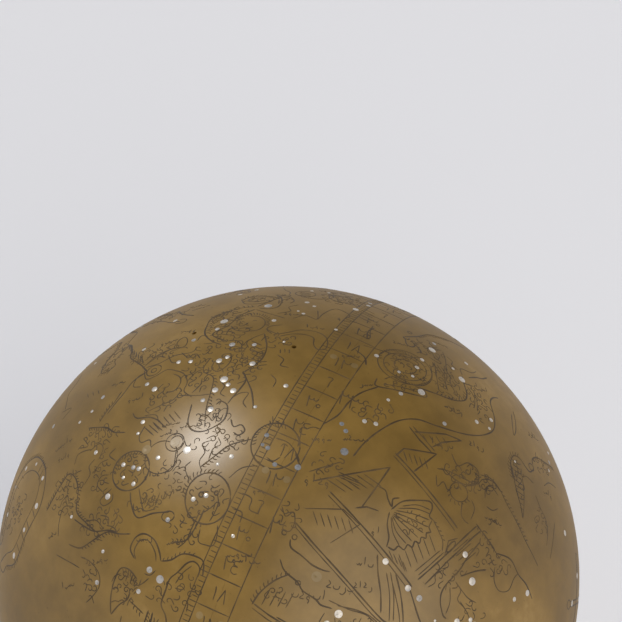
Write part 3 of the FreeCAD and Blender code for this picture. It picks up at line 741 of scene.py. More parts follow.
figure_drawings = {
    "spearman": (spearman, """
        C 0.4,21.7 -2.5,19.3 -4.5,15.8 -7.4,13.7 -6.8,12 -4.5,10
        C -4.3,22.5 -8,20.5 -9,17 -9.1,14 -7.6,11 -5.5,9
        c -4,15.4 -3,13.6 -0.8,12.7 1.4,12.8 2.6,14.4 2.5,16.6 1.2,18.2 -0.4,18.6
        c -2.2,16.2 -1.7,16.5 -1.2,16.2
        c 0.2,16.4 0.7,16.6 1.1,16.3
        c -0.6,16 -0.9,15 -0.4,14.9
        c -1.3,14 -0.5,13.7 0.4,14
        c 0.5,21.6 3,19.4 6.5,17
        C 2.7,11.4 3.3,7 2.5,3.5 0.5,1.2 -1,0
        c 2.6,11.3 0.2,9.8 -0.6,8.6 -0.2,7
        c -7.5,5.5 -8.8,3 -8.5,1.5 -6.8,-0.3 -7.3,-4 -8.2,-8 -8.5,-12
        C -11,-6 -11.8,-10 -11,-12 -9,-12.8 -6.5,-12.2 -4.6,-10.8 -4,-8 -5.2,-6.6 -6.2,-7.2
        c -8.6,-10.6 -7.8,-9.6 -7,-10.8 -6.2,-9.8 -5.4,-10.8 -4.8,-9.6
        C -4,-7.4 -3,-6 -1.5,-4 -0.5,-2 -1,0
        C -1,0 0,-3 0.6,-5 0.9,-8 0.8,-9.3
        c -3,-6 -1.5,-5.2 0,-5.4 -1,-7.4 -0.4,-8.8
        c -6.8,4 -7.2,2.4 -6,1.2 -4.4,2.2 -3.4,4 -3.6,6
        o -2.2,6.6 0.7,0.6
        c -4.4,10 -2.6,9.8 -1.4,8.2 -0.4,9.4 0.4,9.6
        h 0.2,9.2 2.4,7.4 0,-1.3 5
        c 4.5,10.8 7,11.5 10,12.6 13.2,12 14.8,10 14.6,7 13,6.4 12.2,8 12.2,10 10.5,11 8,11 5.6,10.2
        c 3,13 4.2,11.8 5.4,11
        c -22,8.6 -19,10.5 -16,11.6 -13,11 -12.4,10.2
        c -14.8,11.8 -14.6,14 -13.3,14.8 -12.6,13.2 -13,11.4 -14.6,11.2
        c -21,8.3 -18,8.1 -15,9 -11.4,8.6 -10.4,10.2
        o -19.2,6.4 1.6,1.5
        o -19.2,6.4 0.6,0.6
        c -21.4,7.6 -20.8,4.6 -18.8,4.4 -16.4,5.2 -14.6,4.2 -12.8,2.6 -12,0 -12.6,-2.2 -11,-4.2
        c -12,0.2 -10.4,2 -9,2.6
        c -13,-1.6 -14.6,-3.6 -17,-4.1 -20,-4.6
        c -13.6,-3 -10,-4.1 -7.4,-4.4
        c -15,3.4 -13.6,2 -13.4,0.2 -14.6,-1.4 -16.4,-1.2
        h -14.6,-6.6 -13.2,-9 -1.1,-0.3 5
        c -20.8,-5.4 -18.4,-6.2 -17.8,-8.2
        c -11,-3.2 -9.4,-1.6 -9,0.2
        C -3.4,-11 -2.9,-12.8 -1.4,-12.6 -0.8,-14 -2,-14.8 -3,-14
        f -0.9,0.55 2.7,13.8 2.7,16.6 1.4,18.6 -0.6,19 -2.6,17.8
        f 1.1,0.8 -4,22.5 -8,20.5 -9,17 -9.1,14
        f -0.8,0.7 -5.6,20.2 -7.2,18 -7.4,15.4
        f 0.8,0.75 -8.4,1.4 -6.8,-0.4 -7.3,-4 -8.2,-8
        f -0.9,0.8 3.2,7 2.4,3.4 0.4,1.1
        c -6,12.6 -5.2,13.6 -3.6,13 -3,12
        c -13.6,9.4 -12.2,7.4 -10.6,7.8 -9.6,6
        c -16.4,10 -15.4,7 -13.8,6.6
        c -10.6,12 -9.8,13.6 -8.4,13
        o -1,3.4 0.8,0.7
        c -5.4,-1.6 -4.6,-3 -5.4,-4.6 -4.4,-5.6
        c 5.4,4.4 6.6,3 6,1.4 7.6,0.8
        c 4.2,-1 5.2,-2.6 4.6,-4.4
        h -9.6,-8.8 -8.4,-9.6 -0.2,-0.9 4
        n -18.4,14.6 1.1,4
        n 5.6,4.8 1.0,3
        n 6.2,18.6 1.1,4
        n -17.6,-11.6 1.1,4
        n 3.4,-12.4 1.0,4
        n -21.6,11.6 1.0,3
        s -4,12.6 3.6,5.6 26,1.1
        s -1.6,2.8 4.6,5.2 34,1.1
        s -9.6,3.6 3.2,6.4 26,1.0
        s -7,-9.6 3.4,3 14,1.0
        s -17,-2.4 3.6,3.4 14,1.0
        s -17.4,11.6 3.2,2.8 12,0.9
        s 5.8,8.8 3,2.4 10,0.9
    """),
    "twins": ((307, 4, 65), """
        O 4.6,7 4.6,4.8
        O -8,-3.1 4.4,5
        C -9.5,3.2 -7,5.1 -4,7.3 0,8.4
        c -4,0.6 -1.6,2.5 1.4,2.9
        c 4.6,8.6 7,7.6 8.6,5.4 9.2,3.8
        C 8.4,5.6 8.8,4.2 9.4,2.8
        C -8.6,-5.2 -10,-8 -12.2,-10.8 -15,-11
        c -9.4,-5.5 -11.2,-8.9 -12.3,-11 -14,-12.2
        c -6.2,-2 -5.9,-4 -6.4,-5.6 -7.6,-7.6
        O -9.2,-2.3 0.5,0.5
        O -6.3,-2.2 0.4,0.4
        c 9.5,11.2 9.2,9 8.8,6.8
        c 10.2,10.6 11.6,11.2 13,10.8
        c 11,1.8 14,3 17,4.2
        c -9.2,2.2 -9.8,4.4 -8.8,6.2 -9.4,8 -7.6,8.6
        c -8,4.6 -7.2,6.8 -5.8,7.6 -6.4,9.2
        c -12.2,7.6 -14.2,6 -14.4,4.4
        o -14.6,9 1.3,1.4
        c -11.8,1 -12.6,3.4 -11.4,4.6
        c 6,-5 6.8,-7 8.2,-6.2 8.5,-8 7.6,-9.8 6,-9.5
        c -9.4,-8.8 -9.8,-11.2 -8.4,-12 -7,-12.2 -6.2,-10.6 -6,-8.4
        f -0.8,0.7 -0.1,7 0.9,10.2 3.6,11.9 6.6,11.2
        c 2.6,8.2 3.4,8.8 4.2,8.2
        c 5.6,6.8 6.2,7.4 7,6.8
        c 3,4.6 4.2,3.8 5.6,4.6
        c -10.6,-0.6 -10,-1.2 -9,-0.8
        c -7.4,-0.6 -6.6,-1.2 -5.6,-0.6
        c -9,-4.4 -7.8,-5.2 -6.6,-4.4
        f 0.9,0.7 -12.2,-3 -11.4,0.4 -8.8,1.9 -5.4,1.2
        f -0.8,0.8 -9.5,3.2 -7,5.1 -4,7.3
        c -1.4,-2.4 0.4,-3.6 0,-5.6 1.8,-6.6
        c -3.2,-5.4 -1.4,-6.2 -1.8,-8.2
        n -21,2.4 1.0,4
        n 11.4,8.4 1.1,4
        n -4.6,-14.4 1.2,5
        n -14.2,12 1.1,4
        n 0.6,-2.4 1.0,3
        n -20.4,-3 1.0,3
        s -8,-3 3.6,4 14,0.9
        s -6.4,8.4 6,2.6 20,1.0
        s -12.4,-9 3.4,3 12,1.0
        s 14.2,3.6 3.4,2 9,0.9
        s -15,2 3.2,3.6 16,0.9
        s 7.8,-6.8 2.2,2.6 8,0.9
    """),
    "crab": ((297, 27, 60), """
        O 0.8,2.9 4.1,4.0
        o 7.3,4.4 3.4,3.4
        C 0.8,-1.5 1,-4 2.2,-6.8 5.6,-6.6 9,-6.9
        c 2.7,-1 3.2,-4 3.8,-5.8 6.2,-5.8
        o 8.6,-7.7 1.3,1.0
        h 4.6,-2.8 3.8,-4.6 1.3,0.05 5
        c -5.6,0 -7,1.8 -6,3.4 -4.2,3.2
        c -3.4,0.2 -6.2,-1.4 -5.4,-2.8 -3.4,-2.2 -3.2,-0.8
        C -11.2,15.6 -9,15 -6,14 -4,12.4 -1.2,11.6
        c -12.2,13.6 -10.4,11.2 -13,11.5
        C -8.4,16 -7,18.4 -5.6,20 -4.4,22.4
        C -21.5,0.8 -17,5 -15,6.5 -13,5 -12,2 -12.4,-2 -10,-5 -8,-7
        c -17,4.6 -16.2,3.4 -15.4,4.6
        c -13.6,8 -13,10 -11,10.3 -9,10
        c -9.6,9.8 -7.4,10.8 -6.2,9.4 -7,7.2
        c -13,-1 -16,-0.2 -17.5,-3 -17.9,-5.6
        C -15,-8 -12,-9.5 -9,-9 -5,-8.1 -2,-9.1 0.4,-9.6
        c -10,-4.8 -7.4,-5.2 -5.6,-7.4
        C -0.2,15.8 1,14.3 4,13.8 6.4,12.4
        c 3.2,12 2.2,9.8 2.8,8.4 4.6,8.6 5,7
        h 3,11.8 5.4,9.4 0.9,0.35 4
        c -2.8,5.8 -4.4,7.4 -3,8.6
        c -8,4.4 -6.6,6.2 -4.6,6.6
        c 10.4,5.6 10.2,3.4 9.6,1.4 7.4,1
        o 10,7.1 1.9,1.9
        f 0.8,0.7 4.8,4 3.6,6 0.8,6.8 -2,6 -3.2,3.6
        f 0.7,0.7 -21.5,0.8 -17,5 -15,6.5
        f -0.8,0.7 -11.2,15.6 -9,15 -6,14 -4,12.4
        f 0.8,0.8 -8.4,16 -7,18.4 -5.6,20
        f 0.8,0.7 -13,5 -12,2 -12.4,-2 -10,-5
        f -0.7,0.8 -12,-9.5 -9,-9 -5,-8.1 -2,-9.1
        c -16.4,1.2 -15,2 -14.6,0.6 -13.4,1
        c -10.4,2.8 -9,4.6 -9.4,6.4 -8,7.6
        c -6.4,-4.4 -4.4,-5.4 -4.6,-7
        n -19,10.6 1.1,4
        n 7,11 1.1,4
        n -10.4,-13.4 1.2,5
        n 9.6,-3 1.0,3
        n -2,19 1.1,4
        n -21,-5 1.0,3
        n 1.6,-11.4 1.0,4
        s 0.8,3 3.4,3.4 14,0.9
        s -15,2.6 4,5 26,1.0
        s -6,-6 5.4,2.8 20,1.0
        s -7.6,12.4 5.4,2.2 16,1.0
        s 4.4,-4.2 4.2,2 12,0.9
        s -6,4 2.6,5 14,0.9
    """),
    "lion": ((277, 12, 55), """
        C -1.6,9.5 -2.3,11.5 -1,13.4 1,13.8 3,12.3 3.8,10 3.9,8.1
        c -1.3,9.2 -1.5,11 0,12.7 1.8,12.3 2.9,10 2.9,8.2
        C 3.9,8.1 6,8 8.5,8.7 11,7.8 12.3,6.5 11.8,4
        C 10.9,4 11.4,5.6 10.5,6.9 9,6.8 7,5.5 5.2,4.5 4,2.6 2.6,0.2 3,-2 2.8,-4
        c 6.2,3.5 8,5.2 10,6.2
        C -8.8,0.2 -8,3.5 -6.5,6.5 -4.8,8.2 -3,7.6 -1.6,5.6
        c -2.8,4.6 -1,4.5 1,5.4
        C 0.1,6.4 1.3,5.9 2.6,6.6
        C -8.8,0 -6.5,1.5 -4.5,2.2 -3.6,3.4
        c -7.6,4.6 -6.6,4.9 -6,4.4
        c -8.4,2.2 -7.2,2.4 -6.4,2
        c -4,2 -2.7,0.5 -1.5,-1
        C -0.3,-0.5 -2,-3 -4,-5 -2,-5.3 -0.5,-3 0.5,-1
        c 1.5,-2.4 0,-4 -1,-6 -1.8,-6.6
        C 1.6,-4.8 0.6,-8 -0.3,-10.6 1,-10.2 2,-7.4 2.6,-4.4
        c -14.5,11.9 -12,10.5 -10.2,8 -10.5,5.6 -12.5,4 -14.5,3
        C -16,19.5 -13,17.5 -10.5,16.2 -7,15.8 -5,15
        c -21.5,13.4 -17,11 -15,9.8
        h -3.4,7 -4.2,5.6 0.9,-0.5 4
        C -4.4,-5.4 -2.8,-8 -1.4,-11 0.4,-13
        c -6.4,-0.6 -7.4,-3 -5.6,-4.6
        c -14.6,-1.2 -12.4,-3 -13.4,-5.8 -15.6,-8
        c -17,-10.6 -15.4,-8.6 -13,-8.8 -10.2,-11
        f -1.0,0.7 -4.8,8.2 -3,7.6 -1.6,5.6 -1.8,3
        f -0.8,0.8 -3.6,3.6 -2.7,0.5 -1.5,-1
        f 0.6,0.9 3.9,8.1 6,8 8.5,8.7 11,7.8
        f 0.7,0.7 -0.3,-0.5 -2,-3 -4,-5
        c -7.4,6 -6.4,7 -5,7.2
        n -20.6,6.6 1.1,4
        n -9,-12.6 1.2,5
        n 5.4,11 1.1,4
        n -21,-5 1.1,3
        n 3.4,-8 1.0,3
        s 6,2 5.2,3.2 18,1.1
        s -4.8,4.2 2.8,3 12,0.9
        s -1,-6 3,3.6 12,1.0
        s -12.8,7 2,4 10,1.0
        s -13,-7 3.4,3.6 12,1.0
    """),
    "ship": ((309, -28, 70), """
        L -3.3,18.4 10.7,6.1
        l -3.7,17.8 10.2,5.4
        L -15.7,8.5 2.6,-6.7
        l -16,7.8 1.8,-7.3
        C -21.5,1.7 -17,-2.4 -10,-8 -4,-12.5 -1,-14.2 1.6,-13.9
        c -21.5,0.9 -17,-3.2 -10,-8.8 -4.2,-13.2 -1,-14.8
        L -22,-16.8 -18,-18.2 -13.6,-19.6
        l -22,-17.6 -18,-19 -13.4,-20.3
        L -3.2,17.8 -1.5,19.7 5.6,20.1 0.6,15.3
        h -1.6,19.1 -0.8,17 1.1,-0.15 5
        L -19,10.1 -4.3,15.2 -9.5,6.1
        h -16.2,10.7 -12.6,8.8 1.35,0.45 6
        l -20,4.5 -12.8,5.4 -9.4,3 -14.5,-1.4
        h -18.4,4.2 -17.2,1.6 1.35,-0.1 6
        L -10.6,6 -8.4,6.6 -6,6.2
        C -6.5,11 -5,10.4 -4.4,8.8 -3.5,7.5 -3.4,9 -2,9.5
        C -3.6,6.9 -1.6,8.8 1,9.6 4.2,10 4.8,8.8 4.3,7.2 5.2,6.5
        c -1.4,8 1.6,8.8 4.4,8.4
        c -2.2,7.4 1.4,8 4.5,7.6
        c -2.6,6.9 1,6.9 4.4,6.4
        c -3,6.5 0.6,5.9 4,5
        c -3.1,6.2 0,5 3.4,3.7
        c -3.2,6 -0.6,4.4 2.4,2.6
        c -3.3,5.8 -1.4,3.6 1.2,1.7
        c -3.4,5.6 -2.2,3 0.1,1
        c -3.5,5.4 -2.8,2.6 -1.2,0.4
        C -3.9,6.4 -4.1,4 -3.5,1.6 -3.7,-0.3
        C 4.9,6.4 4.4,5 4.9,4.2 4,3.8 4,2.8 3,2.8 2.8,1.6 1.8,1.8 1.4,0.6 0.4,0.9 -0.2,-0.2 \
            -1.4,0.3 -2.2,-0.6 -3.6,-0.2
        c 5.2,6.6 6.6,4.6 7.6,3 7.8,1
        h 4.6,3.6 6.4,0.6 -1.15,-0.95 6
        l 8.2,1 3.4,-4.4
        l 7.4,1.2 2.6,-3.8
        h -3.2,-0.8 -2,-2.6 1,-0.5 4
        O 9.6,2.3 0.5,1.4 -35
        l 8.4,0.4 8.9,3.3 10.9,4.2
        L 3.5,-5.2 8,-0.2 12.2,4.5 13.6,6 15.2,7.6
        L 5.1,-5.8 9.2,-0.6 14.4,5.1 16.3,6.9 15.2,7.6
        h 4.6,-5.4 5.4,-5.8 1.75,2.05 6
        c 15.2,7.6 17.6,6 20.2,4
        C 16.2,4.6 13.6,1 12.2,-1.6 9.4,-5.4 9,-8 10.2,-10.6 11.2,-11.2
        c 10.6,-5.2 11.2,-8 10.8,-10.4
        C 12.6,-2.8 15.8,-1.2 18.6,-0.3
        c 13.4,-7.4 16,-9.6 18,-12.4
        c 12.4,-4.6 15,-6.4 17.4,-7
        C -5.3,-2 -4.6,-5.4 -3.4,-9 -2.6,-12.6
        c -3,-5 -1.6,-9 -0.6,-13.9
        c -2.2,-4.8 -0.8,-8.8 0.2,-13.6
        C -1.2,-4.8 0.6,-8.6 2.1,-13 3.2,-18 3.6,-22
        c -2,-5.6 1.2,-12.6 2.4,-18 2.8,-22
        C 2.2,-7.2 5,-11.8 7.8,-15.2
        c -13,-12 -9,-13 -5,-13.6 -2,-16 0.4,-20
        O 9.8,-18.6 3.6,3.4
        c 5.6,17 8,17.1 12,16.3 15,16 16.5,17.4 19,17.7 21.4,16
        c 7,17.4 9.4,15.8 12.4,15.2 15,16.4
        o 10.6,13.3 2.1,1.9
        c 12.6,15 15,16.2 15.4,18.8 13,20 10.4,18.8 9,21
        c 11.4,11.6 11.3,9 12.2,7.9 13.2,7.5
        c 5.4,15.6 5.7,13.4 7,14.6 8,13.2 9,14
        c 17,13.6 17.2,15.8 18.8,16.4 20.6,15
        c 13.6,8.4 14.4,10.8 13.6,12.4
        c 17.4,12 19,11.6 20.6,12.4
        h -14.4,12.6 -10.2,11.4 0.1,-0.5 3
        f 0.6,0.9 5.2,6.5 6.6,4.6 7.6,3
        f -0.6,0.8 15.2,7.6 17.6,6 20.2,4
        h 10.2,1.4 13.4,4.6 0.7,-0.7 4
        c 11.6,-4 13.2,-5.4 12.8,-7.2 14.6,-8.4
        c 8.4,-2.4 7,-3.6 7.2,-5 5.8,-6.2
        f 0.8,0.8 12.6,15 15,16.2 15.4,18.8
        f -0.7,0.8 8.5,13.6 9,11.6 11,11.4 12.6,12.4
        c 10,14 10.6,14.4 11.2,13.8
        n -20.6,9.6 1.5,4
        n -14,-9.6 1.6,4
        n -9,-4.6 1.3,3
        n -20,-12.4 1.6,5
        n 4.4,22 1.2,5
        n -12.6,-22.4 1.4,5
        n 17,9.6 1.1,4
        n 13,-17.8 1.2,4
        n -7,1.8 1.1,2
        f 0.8,0.9 6.4,-18 8,-15.6 11.4,-15.4 13.2,-18
        s 13.6,16.6 6.6,2.6 24,1.1
        s 10,-3.4 3.2,3 10,1.0
        s 0.8,5 3,2.6 10,0.8
        s 6,-18 3.4,3 14,1.0
        s -6,-16.6 5,2.6 12,1.1
        s 16.4,-9.8 3,3.4 9,1.1
        s 17.6,3.2 2.4,3.4 8,1.0
    """),
    "maiden": ((344, -14, 55), """
        C 1.6,15.4 5,17 9,20 14,21.6 19.5,22.6
        C 1.5,15.6 1.2,14.8 2.2,14.6 2.6,15.4
        C 1.5,15 1.1,12.6 2,12 3,12.8 2.8,14.4
        C 2.6,14.4 3.9,11.6 3.6,10.4
        o -1.2,5.0 5.8,4.9 12
        c 4.9,7 4.2,3.2 2.4,1 0.2,0.1 -2.6,0.4 -4.8,1.6
        o -1.2,5.0 4.6,3.8 12
        o -1.2,5.0 2.4,2.0 12
        h -4.4,7.6 -3.6,8.6 1.2,-0.05 6
        h -4.6,2.4 -3.8,1.4 1.3,0.1 6
        h -6.4,6.4 -5.6,6 0.15,-1.1 4
        h 3,7.4 3.9,7.8 0.1,-1.2 4
        C -8,0.5 -8.6,-1.5 -5,-2 0,-2.5 1.9,-2.3 1.6,-0.6
        c -7,-0.9 -3,-1.1 0.6,-1.7
        c -6.6,0.4 -4.4,1.4 -1.6,0.6
        c 9.9,14 9.6,11 8.9,8.4 8.6,6
        c 5.4,10 7.2,8.9 8.2,9.3
        c 6.2,8.6 5.6,5 5.1,0.3
        c 8.2,7.8 7.4,4 7.3,1
        c 9.2,6 8.6,3.6 9.2,1.2
        c 5.6,12 6.8,13.8 9.6,14.2
        C -0.2,-0.2 4,-0.8 8,-1.1 11,-0.1 12.2,2 12.3,5 12.5,7.4
        c 12.7,7.8 13,10 16,10.5 18,12.2
        C 12,5.2 14.9,5.6
        c 13,4.6 14.1,2 13.5,-0.6
        c 14.4,4.2 14.6,1.6 14,-1.6
        C 14.4,8 17,9.6 19,10.5 21.2,12.4
        c -8.8,9.8 -4,8.4 0,8 3.4,9
        c -9.6,13.8 -7,12.4 -6,15 -4.6,17.6
        C -7.4,12.4 -6.4,15 -4.6,16.6
        C -10.8,8.2 -9.4,6 -9.6,3.8
        C -20,-11 -17,-9 -14.6,-6 -12,-3.7 -8.2,-1.8
        C -14.8,-18 -12.4,-15 -9,-12 -5,-9.4 -1,-8.4 3,-8.9 8,-9 12,-8.3 15.5,-6.6 \
            17.8,-4.3 18.7,-1 18.7,3 20,5.2 22.2,6.6
        L -3,-10.4 -1,-13 1.6,-15.3
        l -2.2,-10.2 2.2,-14.8
        L -2,-11.4 1,-11 5,-10.3 8.6,-10.7 4,-12.4 1.6,-14
        h -0.4,-11.6 0.6,-13 1.5,0.15 4
        c 6.5,-3 8.2,-4.4 9.6,-3.8 9.4,-5
        f -0.9,0.7 -6.8,6 -5.4,8.8 -1.6,10 2,8.8
        f -0.8,0.8 5,17 9,20 14,21.6
        f 0.8,0.9 4,-0.8 8,-1.1 11,-0.1 12.2,2
        f -0.7,0.7 3.1,3 2,1 0.2,-0.1 -2.6,0.2
        h 5.8,8.4 6.8,5.4 0.85,-0.2 4
        c 10.4,12.6 11.4,11.4 10.8,10 12,9
        c 3.2,13.6 4.6,14.4 6,13.6
        n -14,6 1.1,4
        n 5.6,-3.6 1.1,4
        n -16.6,-14.6 1.2,5
        n 15.6,6 1.1,4
        n -2,12 1.0,4
        n 8.8,17 1.1,4
        n -12,-1.8 1.1,3
        s 7.8,4.2 3.2,5.6 26,1.0
        s -1.2,4.6 4.2,3.6 22,0.9
        s 6,13 3.4,3.4 14,1.0
        s 15,1.6 3,5 16,1.0
        s -3.2,-1 4.6,1 9,0.8
        s -10,-8 4,2.4 10,1.1
    """),
    "drawn_bow": ((353, 20, 70), """
        c -6,4.6 -4.4,6.8 -1.8,6.2 0.2,4.4 -0.4,2.4 -2.8,1.6 -5.2,2.4 -6,4.6
        o -3.1,4.2 1.7,1.2 -10
        C 0.5,7 1.6,5 1.8,2 1.1,-0.7 -0.6,-1.6 -2.6,-0.8
        c 1.3,3.6 1.2,0.8
        C 1.6,4.9 -0.4,2.6 -2.8,0.1
        c -3.4,0 -6,0.3 -9,-0.8 -11.5,-2
        c 0.8,7 2.4,6 3.6,4.8 4.2,2.6 3.4,1
        c 2,14 2.5,11 3.4,8.8 3.2,7
        c 5,0.2 3.2,-1 3.5,-3 1,-4
        o 6.4,8 2.0,2.2
        h 5.2,9.4 7.4,8.2 0,-0.9 4
        c -8,22 -7,17 -6,12 -5,10.8 -4.6,13 -6.4,18
        c 8.8,-6 10,-3 12.4,0 15,-2 14.2,-4
        c 5.4,5.6 8,4.6 10.4,5.4 12,8 10.6,10.4
        o 13.4,7.2 2.4,2.6
        c 16,20 16,17 18,15.6 20.4,14
        c 12,12 14.2,15 16.6,14 19,11.6
        h 17.6,3.4 20,2 -0.2,-1.3 5
        c 4,-6.2 6.4,-4.8 8.6,-6 8.8,-2
        c 0,-12 -1,-10.4 -0.4,-9.2 2,-8.8
        f 0.9,0.7 -6,4.6 -4.4,6.8 -1.8,6.2 0.2,4.4
        c -4,4.6 -3.4,5 -2.8,4.6
        f -0.8,0.8 -3.4,0 -6,0.3 -9,-0.8 -11.5,-2
        f 0.7,0.9 12,8 13,4.6 15.6,4.6
        n -16,6 1.1,4
        n 9,12.4 1.1,4
        n 12.6,-5 1.1,4
        n -12,14 1.1,4
        n 6.4,-9.6 1.1,4
        n 0.6,17.4 1.1,4
        s -3,4 2.6,1.8 7,0.8
        s -8,-2.6 3.6,3 14,1.0
        s 13.6,8 4.4,5 22,1.1
        s 2.4,4.4 1.8,3 8,0.9
        s -6.4,15 1.6,5 10,0.9
    """),
    "great_bear": ((342, 49, 95), """
        C -16,15.2 -11,12.6 -8,11 -5,8 -2,6.1 -0.7,5 -0.1,2 0.2,0
        C -12,15.2 -8,14.1 -4,12.3 -1,12.8 2,11.6 5.2,10
        C 5.8,11.6 8,9.4 10,8.1 12.9,7
        c -1,8.1 2,8.4 5,7 8,5.3 10,4.6
        c 10,6 12,5.6 12.2,4.2 10,4.1
        c 9.4,5.4 10.8,4.8
        C -12,4.5 -9,3.5 -6,3.3 -4,3.4 -3,1.5 -2.3,-1 -2.8,-4 -2.5,-7 -1.5,-8.5 0.5,-8.4 1.6,-7.3
        c 1.6,-7.3 0.4,-5.4 0.8,-3 0,-0.6
        h -1.8,-7.4 -2.4,-9.2 0.9,-0.1 4
        C -0.5,-1 0,-1.6 1.6,-1 3,-2.6
        C 0.2,0 2.5,-1.5 4,-4 5.2,-6.4 8,-8.5 10,-10 12.2,-12
        h 1.4,-0.8 2.6,-2.8 1.05,-0.95 8
        C 12.2,-12 9.8,-14 8.6,-17 7.2,-19.4 6,-21.5
        c 12.2,-12 10.4,-13.2 10.4,-15.6 12.4,-16
        C 10.9,-9.8 12.4,-7.4 14.6,-5.8 16,-5.5
        c -12,-2.8 -11.2,-6 -11.9,-9 -10.6,-12 -9.6,-14.6
        c -10.4,-15 -7,-15.6 -9,-17.6
        h -3,-13.6 -2,-15 1.6,-0.1 3
        c -22,-7 -18,-8 -15.8,-8.1
        c -17.6,17.6 -20.6,15.4 -21.6,11.6 -19.6,9.4
        c -15.8,3 -13.4,4.2 -12,4.5
        o -18.6,13.6 0.5,0.5
        c -16.4,9.6 -14.4,9 -13.6,7.4
        f 0.8,0.8 -16,15.2 -11,12.6 -8,11 -5,8 -2,6.1
        f 0.8,0.8 -4,12.3 -1,12.8 2,11.6 5.2,10
        f -0.8,0.8 -12,4.5 -9,3.5 -6,3.3 -4,3.4 -2.3,-1 -2.8,-4
        f 0.7,0.9 4,-4 5.2,-6.4 8,-8.5 10,-10
        n -20,1 1.1,4
        n 8,12.6 1.1,4
        n -10,18.6 1.2,5
        n 4,-14 1.1,4
        n 14,0 1.1,4
        s 4,9.4 6,2 18,1.0
        s -1.2,-3.4 2.2,4.6 14,0.9
        s -12,10 4.6,3 16,1.0
        s 8,-6.4 3.6,3 12,1.0
    """),
    "heron": ((344, -42, 50), """
        C -0.8,2 -0.9,5.4 0.5,7.5 2.5,7.6 4,6.4 5.3,5.7 6.6,6.4 7.4,7.4
        o 6.4,7.1 0.9,0.8
        C 7.2,8 7.6,9.4 10,10.7 14,11.2 18.4,12
        C -0.8,4.8 -0.3,1.2 0.3,-1 1.2,-3.2 1.8,-5.4
        c 2.3,3.6 2.4,0 1.9,-5.2
        c 2.3,3.6 4,4.1 6.2,3.5
        h -0.4,6.4 2.2,6 0.06,-1.1 7
        h 0.5,-1.4 1.9,-1.6 0.15,-1 3
        c 4.6,19 3.3,16 2.4,13 3.6,14.2 5.2,17.6 6,20.4
        c 6.5,1 8,-1 10,-2.7 10.8,-5 10.6,-8
        c -10,0.2 -7.2,0.1 -5,-1.5 -3,-4 0,-6.8 3,-9.6 8,-13
        c -8.6,-3 -8,-1.5 -6.4,-1.2
        c -11,-10 -7,-13 -3.8,-15.2
        C -5,-14.3 -1,-14.4 2,-16.5 5,-17.6 8,-19.6
        c -5,-17 -4.4,-19.6 -2.5,-21 0,-20.2 0.9,-17.6 2,-16.2
        c 14,-2 13.2,-6 12.4,-10
        c 10.6,4.6 13.4,6.4 17,6.8
        f 0.9,0.7 -0.8,2 -0.9,5.4 0.5,7.5 2.5,7.6
        f -0.7,0.8 7.6,9.4 10,10.7 14,11.2 18.4,12
        f 0.7,0.9 -5,-1.5 -3,-4 0,-6.8 3,-9.6
        n -12,6 1.1,4
        n 10,3 1.1,4
        n -8,-8.6 1.1,4
        n 9,16.4 1.2,5
        s 1,2.6 2,4.2 12,0.9
        s 11,9.4 4,1.6 9,0.9
        s -4,-16.6 3.4,2.4 10,1.0
        s 8,-4 2.6,3 9,1.0
    """),
    "hound": ((288, -19, 70), """
        C -5.3,-5.6 -6,-4.3 -7.5,-4.2 -8.1,-6 -7.4,-7.4 -5.5,-8.5 -3,-9.1 0,-8.7 3,-9 6,-9.6
        c -5.6,-6.6 -6.2,-5.3 -7,-5.6 -6.6,-6.8 -4.8,-7.6 -2,-8 0.6,-7.8
        L -12.5,2.6 -9.5,0.6 -5,-1.8 -1.5,-3.5 -0.2,-3.2
        l -12.8,1.8 -9.8,-0.2 -5.2,-2.6 -1.4,-4.3
        C -12.8,2.4 -11.5,4.6 -9,7 -6,8.5
        h -11,2.4 -9.6,5.4 1.5,-0.1 4
        C -8,11.2 -7,9 -4.5,7 -3.5,5.5 -1,4 0,3 2.2,2.4
        C -6.2,15 -6,13.4 -4,12 -2,10.4 0,9.5 1.5,9.2
        o -4.4,6.9 0.5,0.4
        c 0.8,1.6 -0.2,-0.5 -0.3,-3
        o 6.6,-2.2 0.9,1.3 -20
        c 3,3 7,2.2 10,0.8 12.5,-2 13.6,-5.2
        c 3.4,-1 2.6,-3.4 3.8,-5.4 6,-6.4 8.4,-5.6
        c 4.8,-4.4 6.2,-5 7.6,-4.4
        c -20,-3 -21,-8 -22,-12
        f 0.7,0.7 -8.1,-6 -7.4,-7.4 -5.5,-8.5 -3,-9.1 0,-8.7
        f 0.8,0.9 -12.8,2.4 -11.5,4.6 -9,7 -6,8.5
        n -17,10 1.3,5
        n 6,6.4 1.1,4
        n -10,-14 1.2,5
        n 9.6,-9.6 1.1,4
        n -18,-8 1.2,4
        s 5.4,-2.6 3,2 10,0.9
        s -4.6,-10.6 4,1.4 10,1.0
        s -8.4,4.6 2,2 6,0.9
    """),
